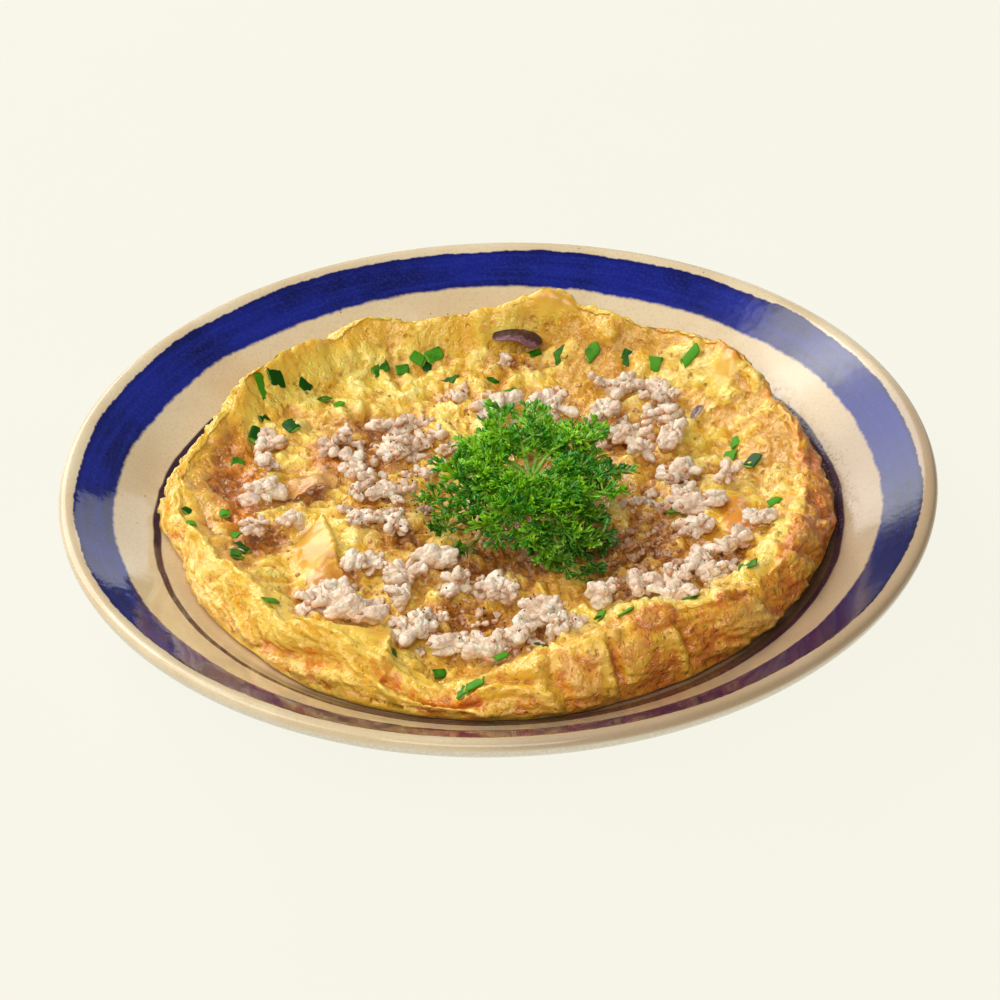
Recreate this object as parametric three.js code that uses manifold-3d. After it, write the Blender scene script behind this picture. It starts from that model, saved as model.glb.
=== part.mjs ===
// An open-faced fried egg omelette with minced pork, spring onion and a sprig of curly parsley,
// on its round stoneware plate. Millimetres, +Z up, the origin on the table under the plate's axis.
// Headings turn from +X towards +Y, in degrees. The diner sits towards -Y.
import * as THREE from "three";
import { mergeVertices } from "three/addons/utils/BufferGeometryUtils.js";
import Module from "manifold-3d";

const wasm = await Module();
wasm.setup();

// ---- Driving dimensions ----

// The gap that is kept between pieces that rest on each other.
const GAP = 0.35;
// How far above the egg's smooth face a pressed underside lies, so that its facets clear the egg's.
const PRESSED = 0.8;

// The plate: its inner face and its underside, each as distance from the axis and height.
const PLATE_SIDES = 52;
const PLATE_INSIDE = [
  [0, 9], [70, 9], [85, 11.5], [95, 16], [103, 20.8], [115, 28.7], [126.6, 35.5], [128.3, 36],
];
const PLATE_OUTSIDE = [
  [0, 2.6], [54, 2.6], [56, 0], [64, 0], [67, 3.4], [85, 5.4], [100, 11.5], [114, 20.6],
  [128.8, 30.4], [130, 33.6], [129.6, 35.2],
];

// The upturned edge of the omelette: heading, the crest's distance from the axis, its height.
const CREST = [
  [-180, 95, 25], [-165, 87, 27], [-147, 85, 30], [-130, 88, 30], [-112, 87, 28], [-101, 92, 23],
  [-90, 87, 28], [-73, 84, 33], [-60, 83, 36], [-46, 90, 34], [-28, 92, 32], [-12, 91, 30],
  [6, 91, 28], [20, 93, 31], [36, 95, 34], [52, 96, 35], [66, 92, 34], [81, 95, 37],
  [90, 90, 30], [101, 91, 31], [114, 96, 34], [139, 95, 34], [154, 93, 30], [167, 96, 26],
];
// Where its side is widest: heading and distance from the axis.
const SIDE = [
  [-180, 100.5], [-166, 95.5], [-153, 96], [-140, 95], [-123, 97.8], [-100, 98], [-82, 97.8],
  [-67, 95.3], [-54, 96], [-40, 97.3], [-22, 98.5], [-5, 101], [24, 99.5], [50, 101], [66, 97.5],
  [80, 100], [90, 96], [102, 97], [120, 100.5], [142, 100], [156, 98.5], [168, 100.5],
];
// The height of the sunken middle, and the slope from it up to the crest: its mean width, and how
// much wider it is on its widest heading.
const MIDDLE_Z = 21.5;
const SLOPE_WIDTH = 19;
const SLOPE_EXTRA = 5;
const SLOPE_HEADING = -50;
// Ripples along the crest: how many round the omelette, their height, and where they start.
const CREST_RIPPLES = [[11, 0.8, 0], [23, 0.5, 40]];
// Upright wrinkles of the side, and how far above the plate it is widest.
const SIDE_WRINKLES = 37;
const WRINKLE_DEPTH = 0.9;
const SIDE_LIFT = 3;
// The mesh of the omelette: its headings, the rings of its upper face as shares of the way in from
// the crest, those of its side as turns of a quarter ellipse, and those of its underside.
const OMELETTE_SIDES = 64;
const TOP_RINGS = [0.87, 0.74, 0.61, 0.49, 0.38, 0.29, 0.21, 0.15, 0.1, 0.06, 0.025, 0];
const SIDE_TURNS = [58, 30, 0];
const UNDER_EDGE = 1.5;
const UNDER_RINGS = [85, 70];

// Folds, flaps and smooth patches of egg: x, y, heading of the ridge, length, width, height.
// A minus height is a hollow.
const FOLDS = [
  [-50, -18, 102, 42, 11, 5.5],
  [-40, -60, 172, 28, 9, 4],
  [-50, -69, 170, 38, 5, 3],
  [9, -84, 100, 26, 6, 3],
  [72, -15, 100, 34, 9, 3],
  [71, 50, 70, 34, 10, 2.5],
  [22, -76, 160, 24, 6, 2.5],
  [-66, 30, 80, 60, 7, 1.6],
  [8, 88, 0, 18, 6, -5],
  [30, -91, 108, 18, 3, -4],
];

// Clumps of minced pork: x, y, length, width, heading.
const PORK = [
  [-70, 34, 8, 7, 80], [-69, 23, 9, 6, 100], [-71, 7, 12, 11, 20], [-72, -11, 11, 7, 0],
  [-62, -9, 9, 7, 10], [-50, 29, 13, 7, 60], [-32, 43, 12, 8, 0], [-31, 30, 11, 9, 20],
  [-23, 34, 8, 7, 90], [-44, 17, 9, 8, 160], [-42, 6, 9, 8, 60], [-33, 3, 13, 7, 165],
  [-41, -10, 9, 8, 30], [-31, -12, 10, 8, 95], [-43, -31, 9, 7, 60], [-36, -30, 9, 8, 30],
  [-28, -38, 16, 8, 40], [-29, -48, 8, 8, 100], [-50, -48, 15, 12, 80], [-42, -59, 14, 11, 10],
  [-23, -64, 16, 9, 75], [-19, -31, 11, 8, 10], [-12, -43, 12, 8, 10], [0, -46, 13, 12, 70],
  [11, -59, 13, 10, 15], [21, -64, 9, 8, 140], [-13, -70, 12, 8, 20], [-4, -77, 12, 9, 160],
  [5, -73, 10, 9, 60], [15, -74, 10, 8, 20], [33, 43, 12, 10, 65], [40, 58, 15, 9, 35],
  [52, 55, 12, 9, 100], [39, 34, 12, 8, 20], [50, 40, 11, 8, 10], [54, 30, 12, 10, 50],
  [44, 23, 10, 8, 160], [55, 10, 12, 9, 20], [55, 0, 11, 8, 60], [60, -8, 15, 7, 5],
  [58, -17, 12, 8, 10], [69, 8, 11, 8, 60], [58, -33, 13, 8, 15], [68, -30, 12, 8, 30],
  [76, -21, 10, 7, 30], [51, -42, 12, 8, 90], [49, -53, 15, 8, 10], [62, -43, 10, 8, 0],
  [29, -49, 12, 9, 10], [41, -44, 12, 9, 30], [17, 49, 15, 10, 10], [1, 51, 13, 9, 20],
  [-12, 28, 9, 8, 20],
];
// A clump's height: what every clump has, and how much it gains with its mean width.
const CLUMP_HEIGHT = 1.5;
const CLUMP_GAIN = 0.64;
// Clumps at least this long have the finer of two pebbles.
const FINE_CLUMP = 10;
// How far a lying piece's middle is above the egg, as a share of its height.
const CLUMP_LIFT = 0.28;
const SLICE_LIFT = 0.3;
const CRUMB_LIFT = 0.2;
// Clumps whose middles are closer than this may touch.
const CLUMP_REACH = 16;
// How deep the lumps of a clump are, as a share of its size.
const LUMP_DEPTH = 0.11;
// Its crumbs, which have grown into the egg: x, y and size.
const CRUMBS = [
  [-62, -46, 7], [-61, -27, 6], [-56, 35, 6], [-38, 24, 7], [-35, 14, 8], [-49, 0, 7], [-40, -43, 7],
  [-20, 45, 6], [-26, 65, 7], [7, 80, 6], [-60, -63, 5], [-20, -13, 6], [36, -62, 5], [63, -20, 5],
  [32, -76, 4],
];

// Cut rings of spring onion on the egg: x and y. Their headings follow from their order.
const ONION = [
  [-73, 59], [-62, 67], [-73, 50], [-75, 41], [-79, 30], [-86, 21], [-56, 61], [-50, 55],
  [-36, 74], [-28, 74], [-27, 85], [-16, 79], [-14, 70], [-1, 71], [5, 65], [18, 88], [25, 82],
  [34, 80], [43, 78], [50, 70], [62, 65], [73, 30], [77, 16], [83, -5], [54, -59], [73, -47],
  [-95, -1], [-90, -12], [-84, 0], [-81, -11], [-77, -20], [-34, -66], [-30, -76], [-18, -79],
  [-1, -81], [-12, -91], [28, -60],
];
const ONION_RADIUS = 2.2;
const ONION_LENGTH = 5.5;
const ONION_SIDES = 4;
const ONION_TILT = 20;
const ONION_LIFT = 0.4;

// The parsley: its hub, and for each branch the heading, the reach and the height of the tip.
const HUB = new THREE.Vector3(10, 0, 33);
const BRANCHES = [
  [-146, 28, 29], [176, 20, 32], [142, 19, 35], [108, 19, 36], [74, 17, 36], [40, 18, 35],
  [6, 19, 33], [-30, 20, 31], [-72, 38, 27], [-110, 25, 29],
];
const HUB_RADIUS = 3;
const STEM_RADIUS = 0.7;
// Every other branch lies higher by this and the rest lower. A branch arches this high, this far out.
const BRANCH_STAGGER = 2.5;
const ARCH_HEIGHT = 3;
const ARCH_PLACE = 0.45;
// The fronds of a branch: their place along it, how far they turn aside, their pitch and size.
const FRONDS = [[0.45, 62, 30, 0.75], [0.7, -58, 18, 0.75], [0.93, 5, -12, 1]];
const FROND_REACH = 13;
const FROND_SPREAD = 52;
const LEAF_THICKNESS = 0.8;
// The notches between a frond's lobes and its ruffles, as shares of its reach.
const NOTCH_DEPTH = 0.3;
const RUFFLE_HEIGHT = 0.12;
// Pork farther than this from the hub can't meet the sprig.
const SPRIG_REACH = 60;

// Slices of purple shallot and a flake of fried shallot: x, y, length, width, height, heading.
const SHALLOT_SLICE = [9, 86, 15, 6, 4, 5];
const SHALLOT_PIECE = [62, 44, 8, 5, 3, 70];
const FRIED_FLAKE = [-55, 11, 14, 9, 2.4, 20];
const FLAKE_LIFT = 1.2;

const EGG_YELLOW = 0xe3ac3c;
const PORK_PINK = 0xd9bda4;
const PARSLEY_GREEN = 0x2f7d17;
const SHALLOT_PURPLE = 0x7a4256;
const FRIED_TAN = 0xc98a4a;
const PLATE_CREAM = 0xd9ccb4;

// ---- Numbers ----

const rad = THREE.MathUtils.degToRad;
const lerp = THREE.MathUtils.lerp;

function smooth(t) {
  return THREE.MathUtils.smoothstep(t, 0, 1);
}

// A number from 0 to 1 that depends only on a seed.
function draw(seed) {
  const s = Math.sin(seed * 127.1 + 11.7) * 43758.5453;
  return s - Math.floor(s);
}

// The height on a profile of [distance, height] points at a distance, in straight lines.
function alongProfile(profile, distance) {
  const i = profile.findIndex((p) => p[0] >= distance);
  const [r1, z1] = profile[i];
  const [r0, z0] = profile[Math.max(i - 1, 0)];
  return r1 > r0 ? lerp(z0, z1, (distance - r0) / (r1 - r0)) : z1;
}

// A column of a table that is sorted by heading, eased between its rows and closed on itself.
function around(table, heading, column) {
  const h = ((((heading + 180) % 360) + 360) % 360) - 180;
  const next = table.findIndex((row) => row[0] > h);
  const b = next < 0 ? 0 : next;
  const a = (b + table.length - 1) % table.length;
  const end = next < 0 ? table[0][0] + 360 : table[b][0];
  const t = (h - table[a][0]) / (end - table[a][0]);
  return lerp(table[a][column], table[b][column], smooth(t));
}

// Low waves over the egg: five, each turned by the golden angle and shorter than the last.
function waves(x, y) {
  let z = 0;
  for (let k = 0; k < 5; k++) {
    const turn = rad(137.5 * k + 20);
    const length = 46 * Math.pow(0.68, k);
    const phase = (2 * Math.PI * (x * Math.cos(turn) + y * Math.sin(turn))) / length;
    z += 0.019 * length * Math.sin(phase + 1.7 * k);
  }
  return z;
}

// ---- Solids ----

function solidOf(positions, triangles) {
  const vertProperties = new Float32Array(positions);
  const triVerts = new Uint32Array(triangles);
  return new wasm.Manifold(new wasm.Mesh({ numProp: 3, vertProperties, triVerts }));
}

// A three.js geometry as a closed solid: its doubled points are merged, its empty triangles dropped.
function solidFrom(geometry) {
  const bare = geometry.clone();
  bare.deleteAttribute("normal");
  bare.deleteAttribute("uv");
  const merged = mergeVertices(bare, 1e-4);
  const index = merged.index.array;
  const triangles = [];
  for (let i = 0; i < index.length; i += 3) {
    const [a, b, c] = index.slice(i, i + 3);
    if (a !== b && b !== c && c !== a) triangles.push(a, b, c);
  }
  return solidOf(merged.attributes.position.array, triangles);
}

function geometryOf(solid) {
  const mesh = solid.getMesh();
  const geometry = new THREE.BufferGeometry();
  geometry.setAttribute("position", new THREE.BufferAttribute(mesh.vertProperties, mesh.numProp));
  geometry.setIndex(new THREE.BufferAttribute(mesh.triVerts, 1));
  geometry.computeVertexNormals();
  return geometry;
}

// A solid moved, or stretched about its own middle.
function changed(solid, matrix) {
  return solidFrom(geometryOf(solid).applyMatrix4(matrix));
}

function raised(solid, height) {
  return changed(solid, new THREE.Matrix4().makeTranslation(0, 0, height));
}

function grown(solid, margin) {
  const box = new THREE.Box3().setFromBufferAttribute(geometryOf(solid).attributes.position);
  const middle = box.getCenter(new THREE.Vector3());
  const size = box.getSize(new THREE.Vector3());
  const grow = size.clone().addScalar(2 * margin).divide(size);
  const matrix = new THREE.Matrix4().makeTranslation(middle.x, middle.y, middle.z);
  matrix.scale(grow);
  matrix.multiply(new THREE.Matrix4().makeTranslation(-middle.x, -middle.y, -middle.z));
  return changed(solid, matrix);
}

// The largest body of a solid, without the scraps that a cut leaves.
function largest(solid) {
  const bodies = solid.decompose();
  return bodies.reduce((best, body) => (body.volume() > best.volume() ? body : best));
}

// A thin closed sheet: point(u, v) gives its middle for u and v from 0 to 1, u across and v along.
// Both faces are split into triangles alike.
function sheet(columns, rows, point, thickness) {
  const positions = [];
  const triangles = [];
  const count = (columns + 1) * (rows + 1);
  for (const side of [1, -1]) {
    for (let j = 0; j <= rows; j++) {
      for (let i = 0; i <= columns; i++) {
        const here = point(i / columns, j / rows);
        const across = point(i / columns + 0.02, j / rows).sub(point(i / columns - 0.02, j / rows));
        const along = point(i / columns, j / rows + 0.02).sub(here);
        const normal = across.cross(along).normalize();
        positions.push(...here.addScaledVector(normal, (side * thickness) / 2).toArray());
      }
    }
  }
  const at = (i, j) => j * (columns + 1) + i;
  for (let j = 0; j < rows; j++) {
    for (let i = 0; i < columns; i++) {
      const [a, b, c, d] = [at(i, j), at(i + 1, j), at(i + 1, j + 1), at(i, j + 1)];
      triangles.push(a, b, c, a, c, d);
      triangles.push(a + count, c + count, b + count, a + count, d + count, c + count);
    }
  }
  const edge = [];
  for (let i = 0; i < columns; i++) edge.push(at(i, 0));
  for (let j = 0; j < rows; j++) edge.push(at(columns, j));
  for (let i = columns; i > 0; i--) edge.push(at(i, rows));
  for (let j = rows; j > 0; j--) edge.push(at(0, j));
  edge.forEach((a, k) => {
    const b = edge[(k + 1) % edge.length];
    triangles.push(a, a + count, b + count, a, b + count, b);
  });
  return solidOf(positions, triangles);
}

// A lumpy pebble of the given size, about its middle and on its heading. No point of it lies
// deeper than sink below the egg's smooth face, so a minus sink keeps it clear above the egg.
function pebble(seed, detail, length, width, height, middle, heading, sink) {
  const geometry = new THREE.IcosahedronGeometry(1, detail);
  const p = geometry.attributes.position;
  const v = new THREE.Vector3();
  for (let i = 0; i < p.count; i++) {
    v.fromBufferAttribute(p, i);
    const lumps =
      Math.sin(3.1 * v.x + 5.3 * seed) + Math.sin(3.7 * v.y + 2.9 * seed) + Math.sin(3.3 * v.z + seed);
    v.multiplyScalar(1 + LUMP_DEPTH * lumps);
    p.setXYZ(i, (v.x * length) / 2, (v.y * width) / 2, (v.z * height) / 2);
  }
  geometry.rotateZ(rad(heading));
  geometry.translate(middle.x, middle.y, middle.z);
  for (let i = 0; i < p.count; i++) {
    p.setZ(i, Math.max(p.getZ(i), topAt(p.getX(i), p.getY(i)) - sink));
  }
  return solidFrom(geometry);
}

// ---- The plate ----

function makePlate() {
  const profile = [...PLATE_OUTSIDE, ...PLATE_INSIDE.toReversed()];
  const points = profile.map(([r, z]) => new THREE.Vector2(r, z));
  const geometry = new THREE.LatheGeometry(points, PLATE_SIDES);
  geometry.rotateX(Math.PI / 2);
  return solidFrom(geometry);
}

// ---- The omelette ----

// How far the folds and flaps lift the egg: a ridge that is steep on one side of its line.
function folds(x, y) {
  let z = 0;
  for (const [fx, fy, heading, length, width, height] of FOLDS) {
    const c = Math.cos(rad(heading));
    const s = Math.sin(rad(heading));
    const along = ((x - fx) * c + (y - fy) * s) / (length / 2);
    const across = ((y - fy) * c - (x - fx) * s) / width;
    const side = across > 0 ? across : across * 2;
    z += height * Math.exp(-(along ** 4) - side * side);
  }
  return z;
}

function crestHeight(heading) {
  let z = around(CREST, heading, 2);
  for (const [count, height, start] of CREST_RIPPLES) {
    z += height * Math.sin(rad(count * heading + start));
  }
  return z;
}

// The egg's upper face: the sunken middle, rising to the crest over a slope that is
// widest at the front right, with the waves and the folds on it.
function topHeight(heading, distance) {
  const x = distance * Math.cos(rad(heading));
  const y = distance * Math.sin(rad(heading));
  const slopeWidth = SLOPE_WIDTH + SLOPE_EXTRA * Math.cos(rad(heading - SLOPE_HEADING));
  const rise = 1 - smooth((around(CREST, heading, 1) - distance) / slopeWidth);
  const middle = MIDDLE_Z + waves(x, y);
  return lerp(middle, crestHeight(heading), rise) + folds(x, y);
}

function topAt(x, y) {
  return topHeight(THREE.MathUtils.radToDeg(Math.atan2(y, x)), Math.hypot(x, y));
}

// The egg's section at a heading, from just off the axis over the crest and back below:
// the upper face, a bulging side of elliptical section with upright wrinkles, and an
// underside that follows the plate.
function omeletteSection(heading) {
  const crest = around(CREST, heading, 1);
  const fade = Math.cos(rad(heading / 2 + 20));
  const wrinkle = WRINKLE_DEPTH * Math.sin(rad(SIDE_WRINKLES * heading)) * fade;
  const widest = around(SIDE, heading, 1) + wrinkle;
  const low = alongProfile(PLATE_INSIDE, widest) + SIDE_LIFT;
  const section = [];
  for (const inset of TOP_RINGS) {
    const r = crest * (1 - inset);
    section.push([r, topHeight(heading, r)]);
  }
  const top = topHeight(heading, crest);
  for (const turn of SIDE_TURNS) {
    const r = crest + (widest - crest) * Math.cos(rad(turn));
    section.push([r, low + (top - low) * Math.sin(rad(turn))]);
  }
  for (const r of [widest - UNDER_EDGE, ...UNDER_RINGS]) {
    section.push([r, alongProfile(PLATE_INSIDE, r) + GAP]);
  }
  return section;
}

function omeletteBody() {
  const headings = Array.from({ length: OMELETTE_SIDES }, (_, k) => -180 + (360 * k) / OMELETTE_SIDES);
  const sections = headings.map(omeletteSection);
  const rings = sections[0].length;
  const positions = [0, 0, topHeight(0, 0)];
  sections.forEach((section, k) => {
    for (const [r, z] of section) {
      positions.push(r * Math.cos(rad(headings[k])), r * Math.sin(rad(headings[k])), z);
    }
  });
  positions.push(0, 0, alongProfile(PLATE_INSIDE, 0) + GAP);
  const last = positions.length / 3 - 1;
  const at = (k, ring) => 1 + (k % OMELETTE_SIDES) * rings + ring;
  const triangles = [];
  for (let k = 0; k < OMELETTE_SIDES; k++) {
    triangles.push(0, at(k, 0), at(k + 1, 0));
    for (let ring = 0; ring < rings - 1; ring++) {
      const [a, b] = [at(k, ring), at(k, ring + 1)];
      const [d, c] = [at(k + 1, ring), at(k + 1, ring + 1)];
      triangles.push(a, b, c, a, c, d);
    }
    triangles.push(at(k + 1, rings - 1), at(k, rings - 1), last);
  }
  return solidOf(positions, triangles);
}

// A place is free if no clump of pork reaches it.
function freeOfPork(x, y, margin) {
  return PORK.every(([px, py, length]) => Math.hypot(x - px, y - py) > length / 2 + margin);
}

function onionRing([x, y], order) {
  const size = [ONION_RADIUS, ONION_RADIUS, ONION_LENGTH, ONION_SIDES];
  const geometry = new THREE.CylinderGeometry(...size);
  geometry.rotateZ(rad(90 + ONION_TILT * (draw(order) - 0.5)));
  geometry.rotateZ(rad(180 * draw(order + 0.5)));
  geometry.translate(x, y, topAt(x, y) + ONION_LIFT);
  return solidFrom(geometry);
}

function crumb([x, y, size], order) {
  const middle = new THREE.Vector3(x, y, topAt(x, y) + CRUMB_LIFT * size);
  return pebble(order, 0, size, 0.9 * size, 0.8 * size, middle, 30 * order, size);
}

function makeOmelette() {
  const onions = ONION.filter(([x, y]) => freeOfPork(x, y, ONION_LENGTH / 2));
  const crumbs = CRUMBS.filter(([x, y, size]) => freeOfPork(x, y, size / 2));
  const bits = [...onions.map(onionRing), ...crumbs.map(crumb)];
  return largest(bits.reduce((egg, bit) => egg.add(bit), omeletteBody()));
}

// ---- What lies on the omelette ----

// A solid that keeps the gap to the egg and to its neighbours: it is cut only by those it meets.
function rested(solid, egg, neighbours) {
  const others = [raised(egg, GAP), ...neighbours.map((other) => grown(other, GAP))];
  const met = others.filter((other) => solid.intersect(other).volume() > 0);
  return largest(met.reduce((left, other) => left.subtract(other), solid));
}

function makePork(egg) {
  const clumps = [];
  PORK.forEach(([x, y, length, width, heading], order) => {
    const height = CLUMP_HEIGHT + CLUMP_GAIN * Math.sqrt(length * width);
    const middle = new THREE.Vector3(x, y, topAt(x, y) + CLUMP_LIFT * height);
    const detail = length >= FINE_CLUMP ? 1 : 0;
    const clump = pebble(order + 1, detail, length, width, height, middle, heading, -PRESSED);
    const near = clumps.filter((_, k) => Math.hypot(PORK[k][0] - x, PORK[k][1] - y) < CLUMP_REACH);
    clumps.push(rested(clump, egg, near));
  });
  return clumps;
}

// A slice of shallot: a flat pebble on the egg.
function makeSlice([x, y, length, width, height, heading], egg, near) {
  const middle = new THREE.Vector3(x, y, topAt(x, y) + SLICE_LIFT * height);
  return rested(pebble(height, 1, length, width, height, middle, heading, -PRESSED), egg, near);
}

// A flake of fried shallot: a thin sheet that is arched along and waved across.
function makeFlake([x, y, length, width, height, heading], egg, near) {
  const turn = new THREE.Matrix4().makeRotationZ(rad(heading));
  const lift = topAt(x, y) + FLAKE_LIFT;
  const point = (u, v) => {
    const curl = Math.cos(Math.PI * (v - 0.5)) + 0.5 * Math.sin(2 * Math.PI * u);
    const flat = new THREE.Vector3((u - 0.5) * length, (v - 0.5) * width, (curl * height) / 2);
    return flat.applyMatrix4(turn).add(new THREE.Vector3(x, y, lift));
  };
  return rested(sheet(4, 3, point, LEAF_THICKNESS), egg, near);
}

// ---- The parsley ----

// A branch's middle line: out of the hub, over a low arch and down to its tip. Neighbours lie at
// other heights, so that their fronds pass over each other.
function branchCurve([heading, reach, tipZ], order) {
  const out = new THREE.Vector3(Math.cos(rad(heading)), Math.sin(rad(heading)), 0);
  const height = tipZ + (order % 2 ? BRANCH_STAGGER : -BRANCH_STAGGER);
  const start = HUB.clone().addScaledVector(out, 0.8 * HUB_RADIUS);
  const tip = HUB.clone().addScaledVector(out, reach).setZ(height);
  const arch = Math.max(HUB.z, height) + ARCH_HEIGHT;
  const bend = HUB.clone().addScaledVector(out, reach * ARCH_PLACE).setZ(arch);
  return new THREE.QuadraticBezierCurve3(start, bend, tip);
}

function stem(curve) {
  const corners = [0, 1, 2, 3].map((k) => rad(90 * k));
  const points = corners.map((a) => new THREE.Vector2(Math.cos(a), Math.sin(a)));
  points.forEach((p) => p.multiplyScalar(STEM_RADIUS));
  const options = { steps: 3, bevelEnabled: false, extrudePath: curve };
  return solidFrom(new THREE.ExtrudeGeometry(new THREE.Shape(points), options));
}

// A frond: a fan of toothed lobes that spreads from its root, ruffled across its width.
function frond(root, heading, pitch, reach, seed) {
  const turn = new THREE.Matrix4().makeRotationZ(rad(heading));
  turn.multiply(new THREE.Matrix4().makeRotationY(rad(-pitch)));
  turn.multiply(new THREE.Matrix4().makeRotationX(rad(10 * (draw(seed) - 0.5))));
  turn.setPosition(root);
  const point = (u, v) => {
    const spread = rad(FROND_SPREAD * (2 * u - 1));
    const tooth = 1 - NOTCH_DEPTH * v * (0.5 + 0.5 * Math.cos(4 * Math.PI * u));
    const r = reach * (0.04 + 0.96 * v) * tooth;
    const wave = Math.sin(4 * Math.PI * u + 6 * draw(seed + 0.3));
    const ruffle = RUFFLE_HEIGHT * reach * v * wave;
    return new THREE.Vector3(r * Math.cos(spread), r * Math.sin(spread), ruffle).applyMatrix4(turn);
  };
  return sheet(4, 1, point, LEAF_THICKNESS);
}

function makeParsley(egg, pork) {
  const hub = new THREE.IcosahedronGeometry(HUB_RADIUS, 0).translate(HUB.x, HUB.y, HUB.z);
  let sprig = solidFrom(hub);
  BRANCHES.forEach((branch, order) => {
    const curve = branchCurve(branch, order);
    sprig = sprig.add(stem(curve));
    FRONDS.forEach(([part, aside, pitch, size], k) => {
      const root = curve.getPoint(part);
      sprig = sprig.add(frond(root, branch[0] + aside, pitch, size * FROND_REACH, 10 * order + k));
    });
  });
  const toHub = ([x, y]) => Math.hypot(x - HUB.x, y - HUB.y);
  const near = pork.filter((_, k) => toHub(PORK[k]) < SPRIG_REACH);
  return rested(sprig, egg, near);
}

// ---- The whole ----

const group = new THREE.Group();

function add(name, solid, color, roughness) {
  const material = new THREE.MeshStandardMaterial({ color, roughness, metalness: 0 });
  const mesh = new THREE.Mesh(geometryOf(solid), material);
  mesh.name = name;
  group.add(mesh);
}

const omelette = makeOmelette();
const pork = makePork(omelette);
add("plate", makePlate(), PLATE_CREAM, 0.25);
add("omelette", omelette, EGG_YELLOW, 0.5);
pork.forEach((clump, k) => add("pork_" + String(k + 1).padStart(2, "0"), clump, PORK_PINK, 0.6));
add("parsley", makeParsley(omelette, pork), PARSLEY_GREEN, 0.5);
add("shallot_slice", makeSlice(SHALLOT_SLICE, omelette, pork), SHALLOT_PURPLE, 0.4);
add("shallot_piece", makeSlice(SHALLOT_PIECE, omelette, pork), SHALLOT_PURPLE, 0.4);
add("fried_flake", makeFlake(FRIED_FLAKE, omelette, pork), FRIED_TAN, 0.4);

export default group;
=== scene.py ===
"""A fried egg omelette with minced pork, spring onion and parsley on a stoneware plate.

Shapes are worked out in millimetres as numpy arrays, and become metres when a mesh is made.
Headings are degrees from +X towards +Y, and the diner sits towards -Y.
"""

import bpy
import numpy as np
from mathutils import Matrix, Vector
from mathutils.bvhtree import BVHTree


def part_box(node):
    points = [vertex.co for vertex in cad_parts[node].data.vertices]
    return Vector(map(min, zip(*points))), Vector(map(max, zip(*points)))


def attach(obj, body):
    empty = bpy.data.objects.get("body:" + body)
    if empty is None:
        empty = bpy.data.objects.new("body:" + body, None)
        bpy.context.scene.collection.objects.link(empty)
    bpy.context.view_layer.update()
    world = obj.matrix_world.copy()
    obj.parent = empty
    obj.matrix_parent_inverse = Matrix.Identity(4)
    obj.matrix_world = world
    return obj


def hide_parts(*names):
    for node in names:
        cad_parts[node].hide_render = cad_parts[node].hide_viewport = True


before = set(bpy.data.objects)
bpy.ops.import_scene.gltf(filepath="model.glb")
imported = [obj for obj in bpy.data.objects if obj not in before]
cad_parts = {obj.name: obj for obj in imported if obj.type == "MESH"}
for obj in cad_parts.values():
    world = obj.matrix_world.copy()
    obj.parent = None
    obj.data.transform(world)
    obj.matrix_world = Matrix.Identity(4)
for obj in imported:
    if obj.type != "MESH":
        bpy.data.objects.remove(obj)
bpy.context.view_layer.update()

MM = 0.001

# ---- The plate and the egg's broad form, as the solids have them ----

PLATE_INSIDE = [
    (0, 9), (70, 9), (85, 11.5), (95, 16), (103, 20.8), (115, 28.7), (126.6, 35.5), (128.3, 36),
]
PLATE_OUTSIDE = [
    (0, 2.6), (54, 2.6), (56, 0), (64, 0), (67, 3.4), (85, 5.4), (100, 11.5), (114, 20.6),
    (128.8, 30.4), (130, 33.6), (129.6, 35.2),
]
PLATE_RADIUS = 130

# The upturned edge of the omelette: heading, the crest's distance from the axis, its height.
CREST = [
    (-180, 95, 25), (-165, 87, 27), (-147, 85, 30), (-130, 88, 30), (-112, 87, 28), (-101, 92, 23),
    (-90, 87, 28), (-73, 84, 33), (-60, 83, 36), (-46, 90, 34), (-28, 92, 32), (-12, 91, 30),
    (6, 91, 28), (20, 93, 31), (36, 95, 34), (52, 96, 35), (66, 92, 34), (81, 95, 37),
    (91, 91, 33), (102, 91, 29.5), (114, 96, 34), (139, 95, 34), (154, 93, 30), (167, 96, 26),
]
# Where its side is widest: heading and distance from the axis.
SIDE = [
    (-180, 100.5), (-166, 95.5), (-153, 96), (-140, 95), (-123, 97.8), (-100, 98), (-82, 97.8),
    (-67, 95.3), (-54, 96), (-40, 97.3), (-22, 98.5), (-5, 101), (24, 99.5), (50, 101), (66, 97.5),
    (80, 100), (90, 96), (102, 97), (120, 100.5), (142, 100), (156, 98.5), (168, 100.5),
]
# How far the crest is a thin lip instead of a round roll: heading and share.
LIPS = [
    (-180, 1), (-140, 0.9), (-110, 0.7), (-80, 0.3), (-40, 0.15), (20, 0.1), (60, 0.3), (100, 0.7),
    (150, 1),
]
MIDDLE_Z = 21.5
SLOPE_WIDTH = 19
SLOPE_EXTRA = 5
SLOPE_HEADING = -50
CREST_RIPPLES = [(11, 0.8, 0), (23, 0.5, 40)]
SIDE_WRINKLES = 37
WRINKLE_DEPTH = 0.9
SIDE_LIFT = 3
SIDE_SWIRL = 0.8
SIDE_RADIUS = 98
SIDE_HEIGHT = 24
TUCK = 3.5
GAP = 0.35

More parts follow.
